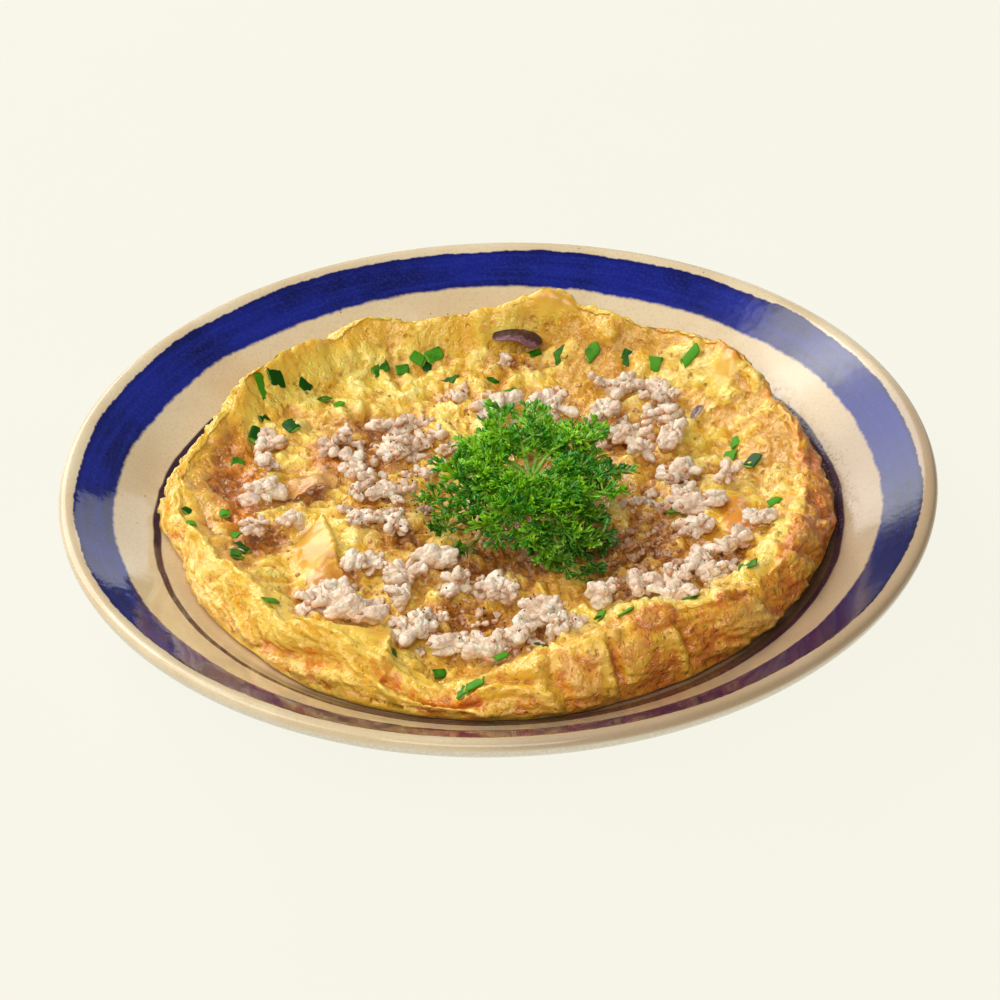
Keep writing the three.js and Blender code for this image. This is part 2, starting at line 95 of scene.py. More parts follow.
# Folds, flaps and smooth patches of egg: x, y, heading of the ridge, length, width, height.
FOLDS = [
    (-50, -18, 102, 42, 11, 2),
    (-40, -60, 172, 28, 9, 4),
    (-50, -69, 170, 38, 5, 3),
    (9, -84, 100, 26, 6, 3),
    (72, -15, 100, 34, 9, 3),
    (71, 50, 70, 34, 10, 2.5),
    (22, -76, 160, 24, 6, 2.5),
    (-66, 30, 80, 60, 7, 1.6),
    (4, 84.5, 3, 40, 3, -6),
    (2, 90.5, 4, 46, 4, 2),
    (30, -91, 108, 18, 3, -4),
]

# Flaps with two steep edges, one along the ridge and one slanting back from its far end: x and y of
# the corner between them, heading towards it, length, width, slant, height.
FLAPS = [
    (-52, -6, 104, 30, 15, 0.75, 5.2),
    (-30, -67, 85, 17, 20, 0.12, 4.6),
    (68, -27, -60, 16, 14, 0.5, 2.2),
]

# ---- What only shows in the finish ----

# Smooth skins of egg among the curd: x, y, heading, length, width.
SMOOTH_SKINS = [
    (-54, -22, 102, 40, 16),
    (-36, -68, 172, 34, 14),
    (71, -14, 95, 30, 14),
    (72, 56, 50, 16, 9),
    (22, 92, 0, 22, 8),
    (-40, -82, 160, 34, 8),
]
# Orange yolk in the egg: x, y, heading, length, width.
YOLKS = [(71, -14, 95, 28, 12), (-79, 16, 95, 62, 16), (-45, 26, 20, 26, 14)]
# Brown gravy that lies in the hollows of the egg, and painted shade on the inner face of the left rim:
# x, y, heading, length, width.
GRAVY = [
    (42, -20, 70, 56, 30),
    (-32, -10, 110, 42, 26),
    (-11, -54, 10, 34, 18),
    (56, 12, 30, 34, 20),
    (-58, 8, 40, 26, 14),
    (36, -44, 0, 30, 16),
    (-82, 20, 95, 60, 16),
    (-72, -14, 40, 26, 14),
    (-44, 36, 60, 40, 26),
    (-4, -28, 0, 60, 30),
    (-50, -38, 60, 30, 16),
    (62, -38, 60, 44, 20),
    (4, 78, 0, 22, 10),
    (42, 40, 60, 34, 20),
    (8, -66, 0, 40, 20),
    # These last two rows, and the row at (-82, 20), are painted shade on the inner face of the left
    # rim.
    (-83, -20, 118, 40, 14),
    (-88, 10, 95, 44, 12),
]
# How brown the fried side is round the omelette: heading and share.
BROWNED = [
    (-180, 0.3), (-150, 0.18), (-120, 0.22), (-100, 0.42), (-84, 0.62), (-66, 0.78), (-46, 0.78),
    (-20, 0.86), (8, 0.88), (30, 0.76), (50, 0.5), (75, 0.3), (100, 0.3), (130, 0.25), (160, 0.3),
]
# Creases of the fried side: heading, share of the way down, length, width, slant, depth.
CREASES = [
    (-146, 0.45, 26, 5, 30, 2.4),
    (-128, 0.6, 34, 6, -12, 2.8),
    (-112, 0.4, 20, 4, 25, 2.2),
    (-100, 0.55, 30, 5, 14, 2.6),
    (-88, 0.35, 24, 4, 20, 2.4),
    (-80, 0.7, 20, 4, 70, 2),
    (-70, 0.5, 16, 3, 85, 2.6),
    (-56, 0.6, 14, 3, 80, 1.8),
    (-38, 0.5, 18, 4, 60, 1.6),
    (-22, 0.5, 22, 5, 55, 1.8),
    (-8, 0.6, 18, 5, 50, 1.2),
    (10, 0.5, 20, 5, 40, 1),
    (28, 0.5, 18, 5, 60, 1),
    (47, 0.6, 20, 5, 50, 1),
    (70, 0.5, 22, 5, 60, 1.4),
    (96, 0.5, 22, 5, 70, 2),
    (125, 0.5, 24, 5, 60, 2.2),
    (150, 0.5, 20, 5, 65, 2),
    (172, 0.5, 22, 5, 60, 2.4),
]

# ---- Numbers ----


def smooth(t):
    """0 below 0, 1 above 1, and an even S between."""
    t = np.clip(t, 0, 1)
    return t * t * (3 - 2 * t)


def lerp(a, b, t):
    return a + (b - a) * t


def cos(degrees):
    return np.cos(np.radians(degrees))


def sin(degrees):
    return np.sin(np.radians(degrees))


def stacked(*parts):
    """Arrays of one shape as one array of points."""
    return np.stack(np.broadcast_arrays(*parts), axis=-1).astype(float)


def around(table, heading, column):
    """A column of a table sorted by heading, eased between its rows and closed on itself."""
    rows = np.array(table, float)
    h = (heading + 180) % 360 - 180
    after = np.searchsorted(rows[:, 0], h, side="right")
    b = after % len(rows)
    a = (after - 1) % len(rows)
    end = np.where(after == len(rows), rows[0, 0] + 360, rows[b, 0])
    t = (h - rows[a, 0]) / (end - rows[a, 0])
    return lerp(rows[a, column], rows[b, column], smooth(t))


def lattice(cell, seed):
    """A fixed number from 0 to 1 for each whole-numbered cell of space."""
    n = cell.astype(np.int64)
    h = n[..., 0] * 374761393 + n[..., 1] * 668265263 + n[..., 2] * 1440662683 + seed * 1274126177
    h &= 0xFFFFFFFF
    h = ((h ^ (h >> 13)) * 1103515245) & 0xFFFFFFFF
    h = ((h ^ (h >> 15)) * 69069) & 0xFFFFFFFF
    return ((h ^ (h >> 16)) & 0xFFFFFF) / 0xFFFFFF


def hills(points, size, seed=0):
    """Soft random hills from -1 to 1: a number at each corner of a grid of cubes, eased between."""
    q = points / size
    base = np.floor(q)
    t = q - base
    t = t * t * t * (t * (6 * t - 15) + 10)
    total = 0
    for corner in np.ndindex(2, 2, 2):
        share = np.prod(np.where(corner, t, 1 - t), axis=-1)
        total = total + share * lattice(base + np.array(corner), seed)
    return 2 * total - 1


def layered(points, size, layers=3, seed=0):
    """Hills on hills, each layer half as large and half as high as the last."""
    total = sum(hills(points, size / 2**k, seed + k) / 2**k for k in range(layers))
    return total / (2 - 0.5 ** (layers - 1))


def folded(points, size, layers=2, seed=0):
    """Round bulges from 0 to 1 with sharp creases between, where the hills cross nought."""
    bulges = [1 - np.exp(-5 * abs(hills(points, size / 2**k, seed + k))) for k in range(layers)]
    total = sum(bulge / 2**k for k, bulge in enumerate(bulges))
    return total / (2 - 0.5 ** (layers - 1))


def pebbled(points, size, seed=0):
    """The distance to the nearest of random points, one in each cube, and to the second nearest."""
    q = points / size
    base = np.floor(q)
    near = np.full(q.shape[:-1], 9.0)
    second = near.copy()
    for step in np.ndindex(3, 3, 3):
        cell = base + np.array(step) - 1
        middle = cell + stacked(lattice(cell, seed), lattice(cell, seed + 1), lattice(cell, seed + 2))
        distance = np.linalg.norm(q - middle, axis=-1)
        second = np.minimum(second, np.maximum(near, distance))
        near = np.minimum(near, distance)
    return near, second


def pillows(points, size, seed=0):
    """Soft lumps from 0 to 1 about a size apart, with creases between them."""
    near, second = pebbled(points, size, seed)
    return smooth((second - near) / 0.55)


def patches(rows, x, y):
    """How far a place lies in any of the patches (x, y, heading, length, width): 1 in the middle."""
    share = np.zeros_like(x)
    for px, py, heading, length, width in rows:
        along = ((x - px) * cos(heading) + (y - py) * sin(heading)) / (length / 2)
        across = ((y - py) * cos(heading) - (x - px) * sin(heading)) / (width / 2)
        share = np.maximum(share, np.exp(-((along**2 + across**2) ** 1.5)))
    return share


# ---- Meshes ----


def make_mesh(name, points, quads=(), triangles=(), even=True):
    """A mesh from points in millimetres and arrays of corners."""
    mesh = bpy.data.meshes.new(name)
    quads = np.asarray(quads, np.int64).reshape(-1, 4)
    triangles = np.asarray(triangles, np.int64).reshape(-1, 3)
    sizes = np.concatenate([np.full(len(quads), 4), np.full(len(triangles), 3)])
    mesh.vertices.add(len(points))
    mesh.vertices.foreach_set("co", (np.asarray(points) * MM).astype(np.float32).ravel())
    mesh.loops.add(int(sizes.sum()))
    mesh.loops.foreach_set("vertex_index", np.concatenate([quads.ravel(), triangles.ravel()]))
    mesh.polygons.add(len(sizes))
    mesh.polygons.foreach_set("loop_start", np.concatenate([[0], np.cumsum(sizes)[:-1]]))
    mesh.polygons.foreach_set("use_smooth", np.full(len(sizes), even))
    mesh.update(calc_edges=True)
    mesh.validate()
    return mesh


def give_values(mesh, **values):
    """Stores one number for each point of a mesh under each name, for its material to read."""
    for name, numbers in values.items():
        layer = mesh.attributes.new(name, "FLOAT", "POINT")
        layer.data.foreach_set("value", np.asarray(numbers, np.float32).ravel())


def give_ring_values(mesh, **values):
    """Values on closed rings, and at their two poles the mean of the ring beside."""
    for name, numbers in values.items():
        poles = [numbers[0].mean(), numbers[-1].mean()]
        give_values(mesh, **{name: np.concatenate([numbers.ravel(), poles])})


def make_piece(name, mesh, material, slot, replaced=()):
    """Puts a mesh in the scene, riding with the plate and standing for the solids it replaces."""
    mesh.materials.append(material)
    piece = bpy.data.objects.new(name, mesh)
    bpy.context.scene.collection.objects.link(piece)
    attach(piece, "root")
    if replaced:
        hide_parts(*replaced)
    return piece


def grid_quads(rows, columns, wrap=False):
    """The quads of a grid of points, row after row. Wrap joins the last column to the first."""
    steps = columns if wrap else columns - 1
    i, j = np.meshgrid(np.arange(rows - 1), np.arange(steps), indexing="ij")
    a = i * columns + j
    b = i * columns + (j + 1) % columns
    return np.stack([a, b, b + columns, a + columns], axis=-1).reshape(-1, 4)


def closed_rings(rings):
    """Points and faces of rings stacked from top to bottom, counted anticlockwise from above.

    The first and the last ring are closed with a point in their middle.
    """
    rows, columns = rings.shape[:2]
    points = np.concatenate([rings.reshape(-1, 3), [rings[0].mean(0)], [rings[-1].mean(0)]])
    quads = grid_quads(rows, columns, wrap=True)[:, ::-1]
    a = np.arange(columns)
    b = (a + 1) % columns
    top = np.stack([np.full(columns, rows * columns), a, b], axis=-1)
    low = (rows - 1) * columns
    bottom = np.stack([np.full(columns, rows * columns + 1), low + b, low + a], axis=-1)
    return points, quads, np.concatenate([top, bottom])


def grid_normals(rings):
    """The outward direction at each point of stacked rings."""
    along = np.gradient(rings, axis=0)
    round_about = np.roll(rings, -1, axis=1) - np.roll(rings, 1, axis=1)
    normal = np.cross(along, round_about)
    return normal / np.maximum(np.linalg.norm(normal, axis=-1, keepdims=True), 1e-9)


def many_copies(shapes, quads):
    """Points and quads of many shapes with the same grid: shapes has one row for each shape."""
    count, each = shapes.shape[:2]
    all_quads = quads[None] + each * np.arange(count)[:, None, None]
    return shapes.reshape(-1, 3), all_quads.reshape(-1, 4)


def strung(sections):
    """Points and quads of many closed tubes, from sections[tube, step, corner].

    The corners run anticlockwise about the way the tube goes. Both ends are closed flat.
    """
    tubes, steps, corners = sections.shape[:3]
    sides = grid_quads(steps, corners, wrap=True)
    k = np.arange(1, corners - 1, 2)
    far = np.stack([0 * k, k, k + 1, k + 2], axis=-1)
    faces = np.concatenate([sides, far[:, ::-1], far + (steps - 1) * corners])
    return many_copies(sections.reshape(tubes, -1, 3), faces)


def joined(parts):
    """Points and quads of several shapes as those of one."""
    starts = np.cumsum([0] + [len(points) for points, _ in parts])
    points = np.concatenate([points for points, _ in parts])
    return points, np.concatenate([quads + start for (_, quads), start in zip(parts, starts)])


def unit(vectors):
    return vectors / np.maximum(np.linalg.norm(vectors, axis=-1, keepdims=True), 1e-9)


def landing_tree(meshes):
    """What a bit that falls onto these meshes lands on."""
    points, faces = [], []
    for mesh in meshes:
        start = len(points)
        points.extend(v.co[:] for v in mesh.vertices)
        faces.extend([start + i for i in face.vertices] for face in mesh.polygons)
    return BVHTree.FromPolygons(points, faces)


def landed(tree, x, y, otherwise):
    """The height at which something that falls at each place comes to lie."""
    heights = np.array(otherwise, float)
    down = Vector((0, 0, -1))
    for k, (px, py) in enumerate(zip(x, y)):
        hit = tree.ray_cast(Vector((px, py, 60)) * MM, down)[0]
        if hit is not None:
            heights[k] = hit.z / MM
    return heights


# ---- Materials ----


def colour(red, green, blue):
    """A colour given as on a screen, from 0 to 255, in linear light."""
    parts = np.array([red, green, blue]) / 255
    linear = np.where(parts <= 0.04045, parts / 12.92, ((parts + 0.055) / 1.055) ** 2.4)
    return (*linear, 1)


class Finish:
    """A material whose patterns are built up by short calls."""

    def __init__(self, name, **sockets):
        self.material = bpy.data.materials.new(name)
        self.material.use_nodes = True
        self.tree = self.material.node_tree
        self.shader = self.tree.nodes["Principled BSDF"]
        for socket, value in sockets.items():
            self.shader.inputs[socket.replace("_", " ")].default_value = value
        self.place = self.add("ShaderNodeTexCoord").outputs["Object"]

    def add(self, kind, **settings):
        node = self.tree.nodes.new(kind)
        for key, value in settings.items():
            setattr(node, key, value)
        return node

    def feed(self, socket, value):
        """Joins an output to a socket, or sets the socket to a plain value."""
        if isinstance(value, bpy.types.NodeSocket):
            self.tree.links.new(value, socket)
        else:
            socket.default_value = value

    def paced(self, size, place=None, stretch=(1, 1, 1)):
        """Places counted in steps of a size in millimetres, stretched along the axes."""
        scaled = self.add("ShaderNodeMapping")
        self.feed(scaled.inputs["Vector"], place or self.place)
        scaled.inputs["Scale"].default_value = [1 / (size * MM * s) for s in stretch]
        return scaled.outputs["Vector"]

    def noise(self, size, detail=3, roughness=0.55, stretch=(1, 1, 1), place=None, twist=0):
        """Cloudy pattern with clouds of a size in millimetres, stretched along the axes."""
        node = self.add("ShaderNodeTexNoise")
        self.feed(node.inputs["Vector"], self.paced(size, place, stretch))
        node.inputs["Scale"].default_value = 1
        node.inputs["Detail"].default_value = detail
        node.inputs["Roughness"].default_value = roughness
        node.inputs["Distortion"].default_value = twist
        return node.outputs["Fac"]

    def cells(self, size, place=None):
        """Distance to the nearest of random points, about a size in millimetres apart."""
        node = self.add("ShaderNodeTexVoronoi")
        self.feed(node.inputs["Vector"], self.paced(size, place))
        node.inputs["Scale"].default_value = 1
        return node.outputs["Distance"]

    def shaken(self, size, reach):
        """Places moved about by clouds of a size, so that a pattern read there is less even."""
        clouds = self.add("ShaderNodeTexNoise")
        self.feed(clouds.inputs["Vector"], self.paced(size))
        clouds.inputs["Scale"].default_value = 1
        moved = self.add("ShaderNodeVectorMath", operation="MULTIPLY_ADD")
        self.feed(moved.inputs[0], clouds.outputs["Color"])
        moved.inputs[1].default_value = [reach * MM] * 3
        self.feed(moved.inputs[2], self.place)
        return moved.outputs["Vector"]

    def value_of(self, name):
        """A number stored on the mesh."""
        return self.add("ShaderNodeAttribute", attribute_name=name).outputs["Fac"]

    def span(self, value, low, high, to_low=0.0, to_high=1.0):
        """Stretches a range of a value to another, with soft ends."""
        node = self.add("ShaderNodeMapRange", interpolation_type="SMOOTHSTEP")
        self.feed(node.inputs["Value"], value)
        node.inputs["From Min"].default_value = low
        node.inputs["From Max"].default_value = high
        node.inputs["To Min"].default_value = to_low
        node.inputs["To Max"].default_value = to_high
        return node.outputs["Result"]

    def sum(self, a, b, way="ADD"):
        node = self.add("ShaderNodeMath", operation=way)
        self.feed(node.inputs[0], a)
        self.feed(node.inputs[1], b)
        return node.outputs[0]

    def times(self, a, b):
        return self.sum(a, b, "MULTIPLY")

    def mix(self, share, a, b, way="MIX"):
        """Colour a, turned into colour b by a share."""
        node = self.add("ShaderNodeMix", data_type="RGBA", blend_type=way)
        self.feed(node.inputs["Factor"], share)
        self.feed(node.inputs["A"], a)
        self.feed(node.inputs["B"], b)
        return node.outputs["Result"]

    def bump(self, height, depth, below=None):
        """Relief too fine for the mesh: height from 0 to 1 stands for a depth in millimetres."""
        node = self.add("ShaderNodeBump")
        node.inputs["Distance"].default_value = depth * MM
        self.feed(node.inputs["Height"], height)
        if below is not None:
            self.feed(node.inputs["Normal"], below)
        return node.outputs["Normal"]

    def blend(self, a, b, share):
        """One relief turned into another by a share."""
        node = self.add("ShaderNodeMix", data_type="VECTOR")
        self.feed(node.inputs["Factor"], share)
        self.feed(node.inputs["A"], a)
        self.feed(node.inputs["B"], b)
        return node.outputs["Result"]

    def set(self, **sockets):
        for socket, value in sockets.items():
            self.feed(self.shader.inputs[socket.replace("_", " ")], value)
        return self.material


# ---- The plate ----

BAND_EDGES = (113.8, 125.3)
RING_EDGES = (101.2, 103.4)
PLATE_STEP = 1.5
PLATE_ROUNDING = 3
PLATE_HEADINGS = 224
# Radius and width of the ring where drops cling to the glaze, and of the painted shadow round the
# omelette.
DROPS = (101, 5)
JUICE = (99.5, 3.4)
# Headings of the window's glare, the darkest painted shadow round the omelette, the plate's painted
# shade and the band's darkest painted shade.
GLARE_HEADING = 12
JUICE_HEADING = -48
TOASTED_HEADING = -36
PAINT_HEADING = -60
BRUSH_SPREAD = 3.2
BRUSH_WIDTH = 1.7


def rounded(corners, step, reach):
    """Points at even steps along straight lines, each moved to the mean of its neighbourhood.

    The line starts and ends on the axis, and is taken to go on there as its own mirror image.
    """
    corners = np.array(corners, float)
    lengths = np.linalg.norm(np.diff(corners, axis=0), axis=1)
    way = np.concatenate([[0], np.cumsum(lengths)])
    at = np.linspace(0, way[-1], round(way[-1] / step) + 1)
    line = np.stack([np.interp(at, way, corners[:, 0]), np.interp(at, way, corners[:, 1])], axis=-1)
    wide = round(reach / step)
    mirror = np.array([-1, 1])
    longer = np.concatenate([line[wide:0:-1] * mirror, line, line[-2 : -wide - 2 : -1] * mirror])
    bell = np.hanning(2 * wide + 3)[1:-1]
    bell /= bell.sum()
    parts = [np.convolve(longer[:, k], bell, mode="valid") for k in (0, 1)]
    return np.stack(parts, axis=-1)


def plate_material():
    """Cream glaze with brown specks, a thin dark ring and a brushed cobalt band."""
    glaze = Finish("stoneware_glaze", Roughness=0.14, IOR=1.46, Specular_IOR_Level=0.5)
    inner = glaze.value_of("inner_face")
    radius = glaze.value_of("glaze_radius")
    brush = glaze.add("ShaderNodeAttribute", attribute_name="brush_path").outputs["Vector"]
    strokes = glaze.noise(1, detail=4, place=brush, stretch=(MM**-1,) * 3)
    cloth = glaze.noise(0.9, detail=3, roughness=0.6)
    broad = glaze.noise(34, detail=3)
    bleed = glaze.noise(2.6, detail=4, roughness=0.6)
    steady = glaze.sum(radius, glaze.span(broad, 0.3, 0.7, -0.5, 0.5))
    edge = glaze.sum(steady, glaze.span(bleed, 0.3, 0.7, -0.2, 0.2))
    inner_edge = glaze.span(edge, BAND_EDGES[0] - 0.4, BAND_EDGES[0] + 0.7)
    band = glaze.times(inner_edge, glaze.span(edge, BAND_EDGES[1] + 0.3, BAND_EDGES[1] - 0.2))
    ring = glaze.times(
        glaze.span(steady, RING_EDGES[0] - 0.3, RING_EDGES[0] + 0.3),
        glaze.span(steady, RING_EDGES[1] + 0.3, RING_EDGES[1] - 0.3),
    )
    cream = glaze.mix(glaze.span(broad, 0.35, 0.7), colour(216, 194, 156), colour(229, 213, 179))
    cream = glaze.mix(glaze.span(cloth, 0.45, 0.75, 0, 0.35), cream, colour(190, 164, 122))
    specks = glaze.span(glaze.cells(3.4), 0.1, 0.06)
    rare = glaze.span(glaze.noise(9, 2), 0.57, 0.62)
    cream = glaze.mix(glaze.times(specks, rare), cream, colour(120, 92, 66))
    # Painted shade on the side of the plate away from the light, with cloudy edges.
    toasted = glaze.sum(glaze.value_of("toasted"), glaze.span(broad, 0.3, 0.7, -0.15, 0.15))
    cream = glaze.mix(glaze.span(toasted, 0, 1, 0, 0.6), cream, colour(146, 112, 82))
    # Painted shadow: dark brown on the glaze round the foot of the omelette.
    cream = glaze.mix(glaze.span(glaze.value_of("foot"), 0.1, 0.9, 0, 0.85), cream, colour(58, 30, 18))
    bare = glaze.mix(glaze.span(cloth, 0.35, 0.7), colour(214, 204, 184), colour(232, 224, 206))
    clay = glaze.mix(inner, bare, cream)
    deep = glaze.mix(glaze.span(broad, 0.38, 0.62), colour(8, 14, 78), colour(18, 30, 128))
    deep = glaze.mix(glaze.span(strokes, 0.42, 0.72, 0, 0.5), deep, colour(28, 44, 158))
    deep = glaze.mix(glaze.span(cloth, 0.4, 0.75, 0, 0.3), deep, colour(52, 66, 152))
    rim_line = glaze.span(radius, 123.4, 124.8)
    deep = glaze.mix(glaze.times(rim_line, 0.6), deep, colour(10, 16, 84))
    # Painted shade and painted reflection of the omelette in the band, darkest at the front.
    deep = glaze.mix(glaze.span(glaze.value_of("paint"), 0.5, 1, 0, 0.8), deep, colour(12, 8, 48))
    line = glaze.mix(glaze.span(strokes, 0.3, 0.7), colour(72, 48, 66), colour(50, 30, 48))
    painted = glaze.mix(glaze.times(band, inner), clay, deep)
    painted = glaze.mix(glaze.times(ring, inner), painted, line)
    waves = glaze.bump(glaze.noise(12, 3), 0.12)
    dimples = glaze.bump(cloth, 0.008, waves)
    drops = glaze.span(glaze.cells(1.5, place=glaze.shaken(2, 1.5)), 0.42, 0.2)
    dimples = glaze.bump(glaze.times(drops, glaze.value_of("damp")), 0.2, dimples)
    sheen = glaze.span(bleed, 0.3, 0.8, 0.05, 0.1)
    return glaze.set(
        Base_Color=painted,
        Roughness=glaze.sum(sheen, glaze.times(glaze.value_of("matt"), 0.08)),
        Normal=dimples,
    )


def make_plate():
    """A profile turned about the axis: from the axis out along the inner face and back below.

    Drops and the painted shadow round the omelette are bell curves about a radius,
    exp(-(distance from it / width)^2). The drops end to both sides of the glare, and the other
    values follow the cosine of the angle between their heading and the place.
    """
    profile = rounded([*PLATE_INSIDE, *reversed(PLATE_OUTSIDE)], PLATE_STEP, PLATE_ROUNDING)
    reach = profile[:, 0].max()
    profile[:, 0] *= (PLATE_RADIUS - 0.02) / reach
    profile[:, 1] -= profile[:, 1].min()
    outermost = profile[:, 0].argmax()
    profile = profile[1:-1]
    heading = np.arange(PLATE_HEADINGS) * 360 / PLATE_HEADINGS
    radius = profile[:, :1]
    rings = stacked(radius * cos(heading), radius * sin(heading), profile[:, 1:] + 0 * heading)
    points, quads, triangles = closed_rings(rings)
    mesh = make_mesh("plate", points, quads, triangles)
    inner = np.zeros(len(points))
    inner[: outermost * PLATE_HEADINGS] = 1
    inner[-2] = 1
    h = np.degrees(np.arctan2(points[:, 1], points[:, 0]))
    r = np.hypot(points[:, 0], points[:, 1])
    drops, juice = (np.exp(-(((r - middle) / width) ** 2)) for middle, width in (DROPS, JUICE))
    give_values(
        mesh,
        inner_face=inner,
        glaze_radius=r,
        damp=inner * drops * np.exp(-(((h - GLARE_HEADING) / 26) ** 4)),
        # foot: the painted shadow round the omelette's foot.
        foot=inner * juice * smooth(0.45 + 0.75 * cos(h - JUICE_HEADING)),
        # Painted shade on the side of the plate away from the light.
        toasted=inner * smooth(1.7 * cos(h - TOASTED_HEADING) - 0.5),
        # Painted shade in the band, darkest at the front.
        paint=0.5 + 0.5 * cos(h - PAINT_HEADING),
        matt=smooth(1.6 * cos(h - GLARE_HEADING) - 0.4),
    )
    path = mesh.attributes.new("brush_path", "FLOAT_VECTOR", "POINT")
    strokes = stacked(BRUSH_SPREAD * cos(h), BRUSH_SPREAD * sin(h), r / BRUSH_WIDTH)
    path.data.foreach_set("vector", strokes.astype(np.float32).ravel())
    make_piece("stoneware_plate", mesh, plate_material(), "stoneware", ["plate"])


# ---- The omelette ----

EGG_HEADINGS = 720
EGG_TOP_RINGS = 84
EGG_SIDE_RINGS = 38


def plate_height(distance):
    return np.interp(distance, *np.array(PLATE_INSIDE, float).T)


def waves(x, y):
    """Low waves: five, each turned by the golden angle and shorter than the last."""
    z = 0
    for k in range(5):
        turn = 137.5 * k + 20
        length = 46 * 0.68**k
        z = z + 0.019 * length * np.sin(2 * np.pi * (x * cos(turn) + y * sin(turn)) / length + 1.7 * k)
    return z


def folds(x, y):
    """Ridges that are steep on one side: each is height * exp(-along^4 - across^2)."""
    z = 0
    for fx, fy, heading, length, width, height in FOLDS:
        along = ((x - fx) * cos(heading) + (y - fy) * sin(heading)) / (length / 2)
        across = ((y - fy) * cos(heading) - (x - fx) * sin(heading)) / width
        across = np.where(across > 0, across, 2 * across)
        z = z + height * np.exp(-(along**4) - across**2)
    return z


def flaps(x, y):
    """Lifted corners: the height falls off evenly across, and at once past the two steep edges."""
    z = 0
    for fx, fy, heading, length, width, slant, height in FLAPS:
        back = -((x - fx) * cos(heading) + (y - fy) * sin(heading))
        left = (y - fy) * cos(heading) - (x - fx) * sin(heading)
        steep = smooth(left / 1.4 + 0.5) * smooth((back - slant * left) / 1.6 + 0.5)
        fade = np.maximum(1 - left / width, 0) * (1 - smooth((back - 0.65 * length) / (0.35 * length)))
        z = z + height * steep * fade
    return z


def crest_height(heading):
    z = around(CREST, heading, 2)
    for count, height, start in CREST_RIPPLES:
        z = z + height * sin(count * heading + start)
    return z


def top_height(heading, distance):
    """The egg's broad upper face: a sunken middle that rises to the crest, waves and folds."""
    x = distance * cos(heading)
    y = distance * sin(heading)
    width = SLOPE_WIDTH + SLOPE_EXTRA * cos(heading - SLOPE_HEADING)
    inward = (around(CREST, heading, 1) - distance) / width
    steep = np.clip(1 - inward, 0, 1) ** 1.8
    rise = lerp(1 - smooth(inward), steep, around(LIPS, heading, 1))
    return lerp(MIDDLE_Z + waves(x, y), crest_height(heading), rise) + folds(x, y) + flaps(x, y)


def top_at(x, y):
    return top_height(np.degrees(np.arctan2(y, x)), np.hypot(x, y))


def curd_relief(place, skin):
    """How far the curd stands out of the broad face: soft lumps, folds, pits and fine grain."""
    bent = place + 3.4 * stacked(*(hills(place, 9, seed) for seed in (31, 32, 33)))
    bent = bent + 1.2 * stacked(*(hills(place, 3.5, seed) for seed in (34, 35, 36)))
    broad = 2.6 * layered(bent, 15, 2, seed=1)
    lumps = 1.7 * (pillows(bent, 9.5, 11) - 0.6) + 0.9 * (pillows(bent, 4.6, 12) - 0.6)
    strings = 1.2 * (0.6 - folded(bent, 7, 2, seed=15))
    near, _ = pebbled(place, 4.2, seed=5)
    frothy = smooth((layered(place, 16, 2, seed=41) + 0.15) * 3)
    pits = -1.4 * smooth(1 - near / 0.4) * frothy
    grain = 0.5 * layered(place, 2.6, 2, seed=21)
    calm = 0.3 * hills(place, 13, seed=3)
    return lerp(broad + lumps + strings + pits + grain, calm, 0.96 * skin)


def side_relief(place, heading, down):
    """How far the fried side stands out: slanting bulges with sharp creases between, blisters."""
    swirled = heading + SIDE_SWIRL * (place[..., 2] - 20)
    around_it = stacked(SIDE_RADIUS * cos(swirled), SIDE_RADIUS * sin(swirled), 1.7 * place[..., 2])
    bent = around_it + 6 * stacked(*(hills(around_it, 15, seed) for seed in (61, 62, 63)))
    bent = bent + 2.4 * stacked(*(hills(bent, 5, seed) for seed in (67, 68, 69)))
    bulges = lerp(1.5, 3.4, around(LIPS, heading, 1)) * (folded(bent, 16, 2, seed=51) - 0.6)
    lumps = 0.9 * (pillows(bent, 6, 57) - 0.6) + 0.5 * (pillows(bent, 3, 58) - 0.6)
    bulges = bulges + lumps * lerp(0.6, 1, around(LIPS, heading, 1))
    broad = 2.2 * layered(place, 26, 2, seed=55)
    near, _ = pebbled(place, 3.2, seed=65)
    blisters = 0.45 * smooth(1 - near / 0.6) * smooth(0.6 + 1.4 * hills(place, 18, 66))
    relief = bulges + broad + blisters + 0.5 * layered(place, 3, 2, seed=71)
    for at, low, length, width, slant, depth in CREASES:
        sideways = np.radians((heading - at + 180) % 360 - 180) * SIDE_RADIUS
        downward = (down - low) * SIDE_HEIGHT
        along = (sideways * cos(slant) + downward * sin(slant)) / (length / 2)
        across = (downward * cos(slant) - sideways * sin(slant)) / (width / 2)
        fold = np.exp(-(along**4))
        relief = relief - depth * fold * np.exp(-(across**2))
        relief = relief + 0.6 * depth * fold * np.exp(-((across - 1.7) ** 2))
    return relief


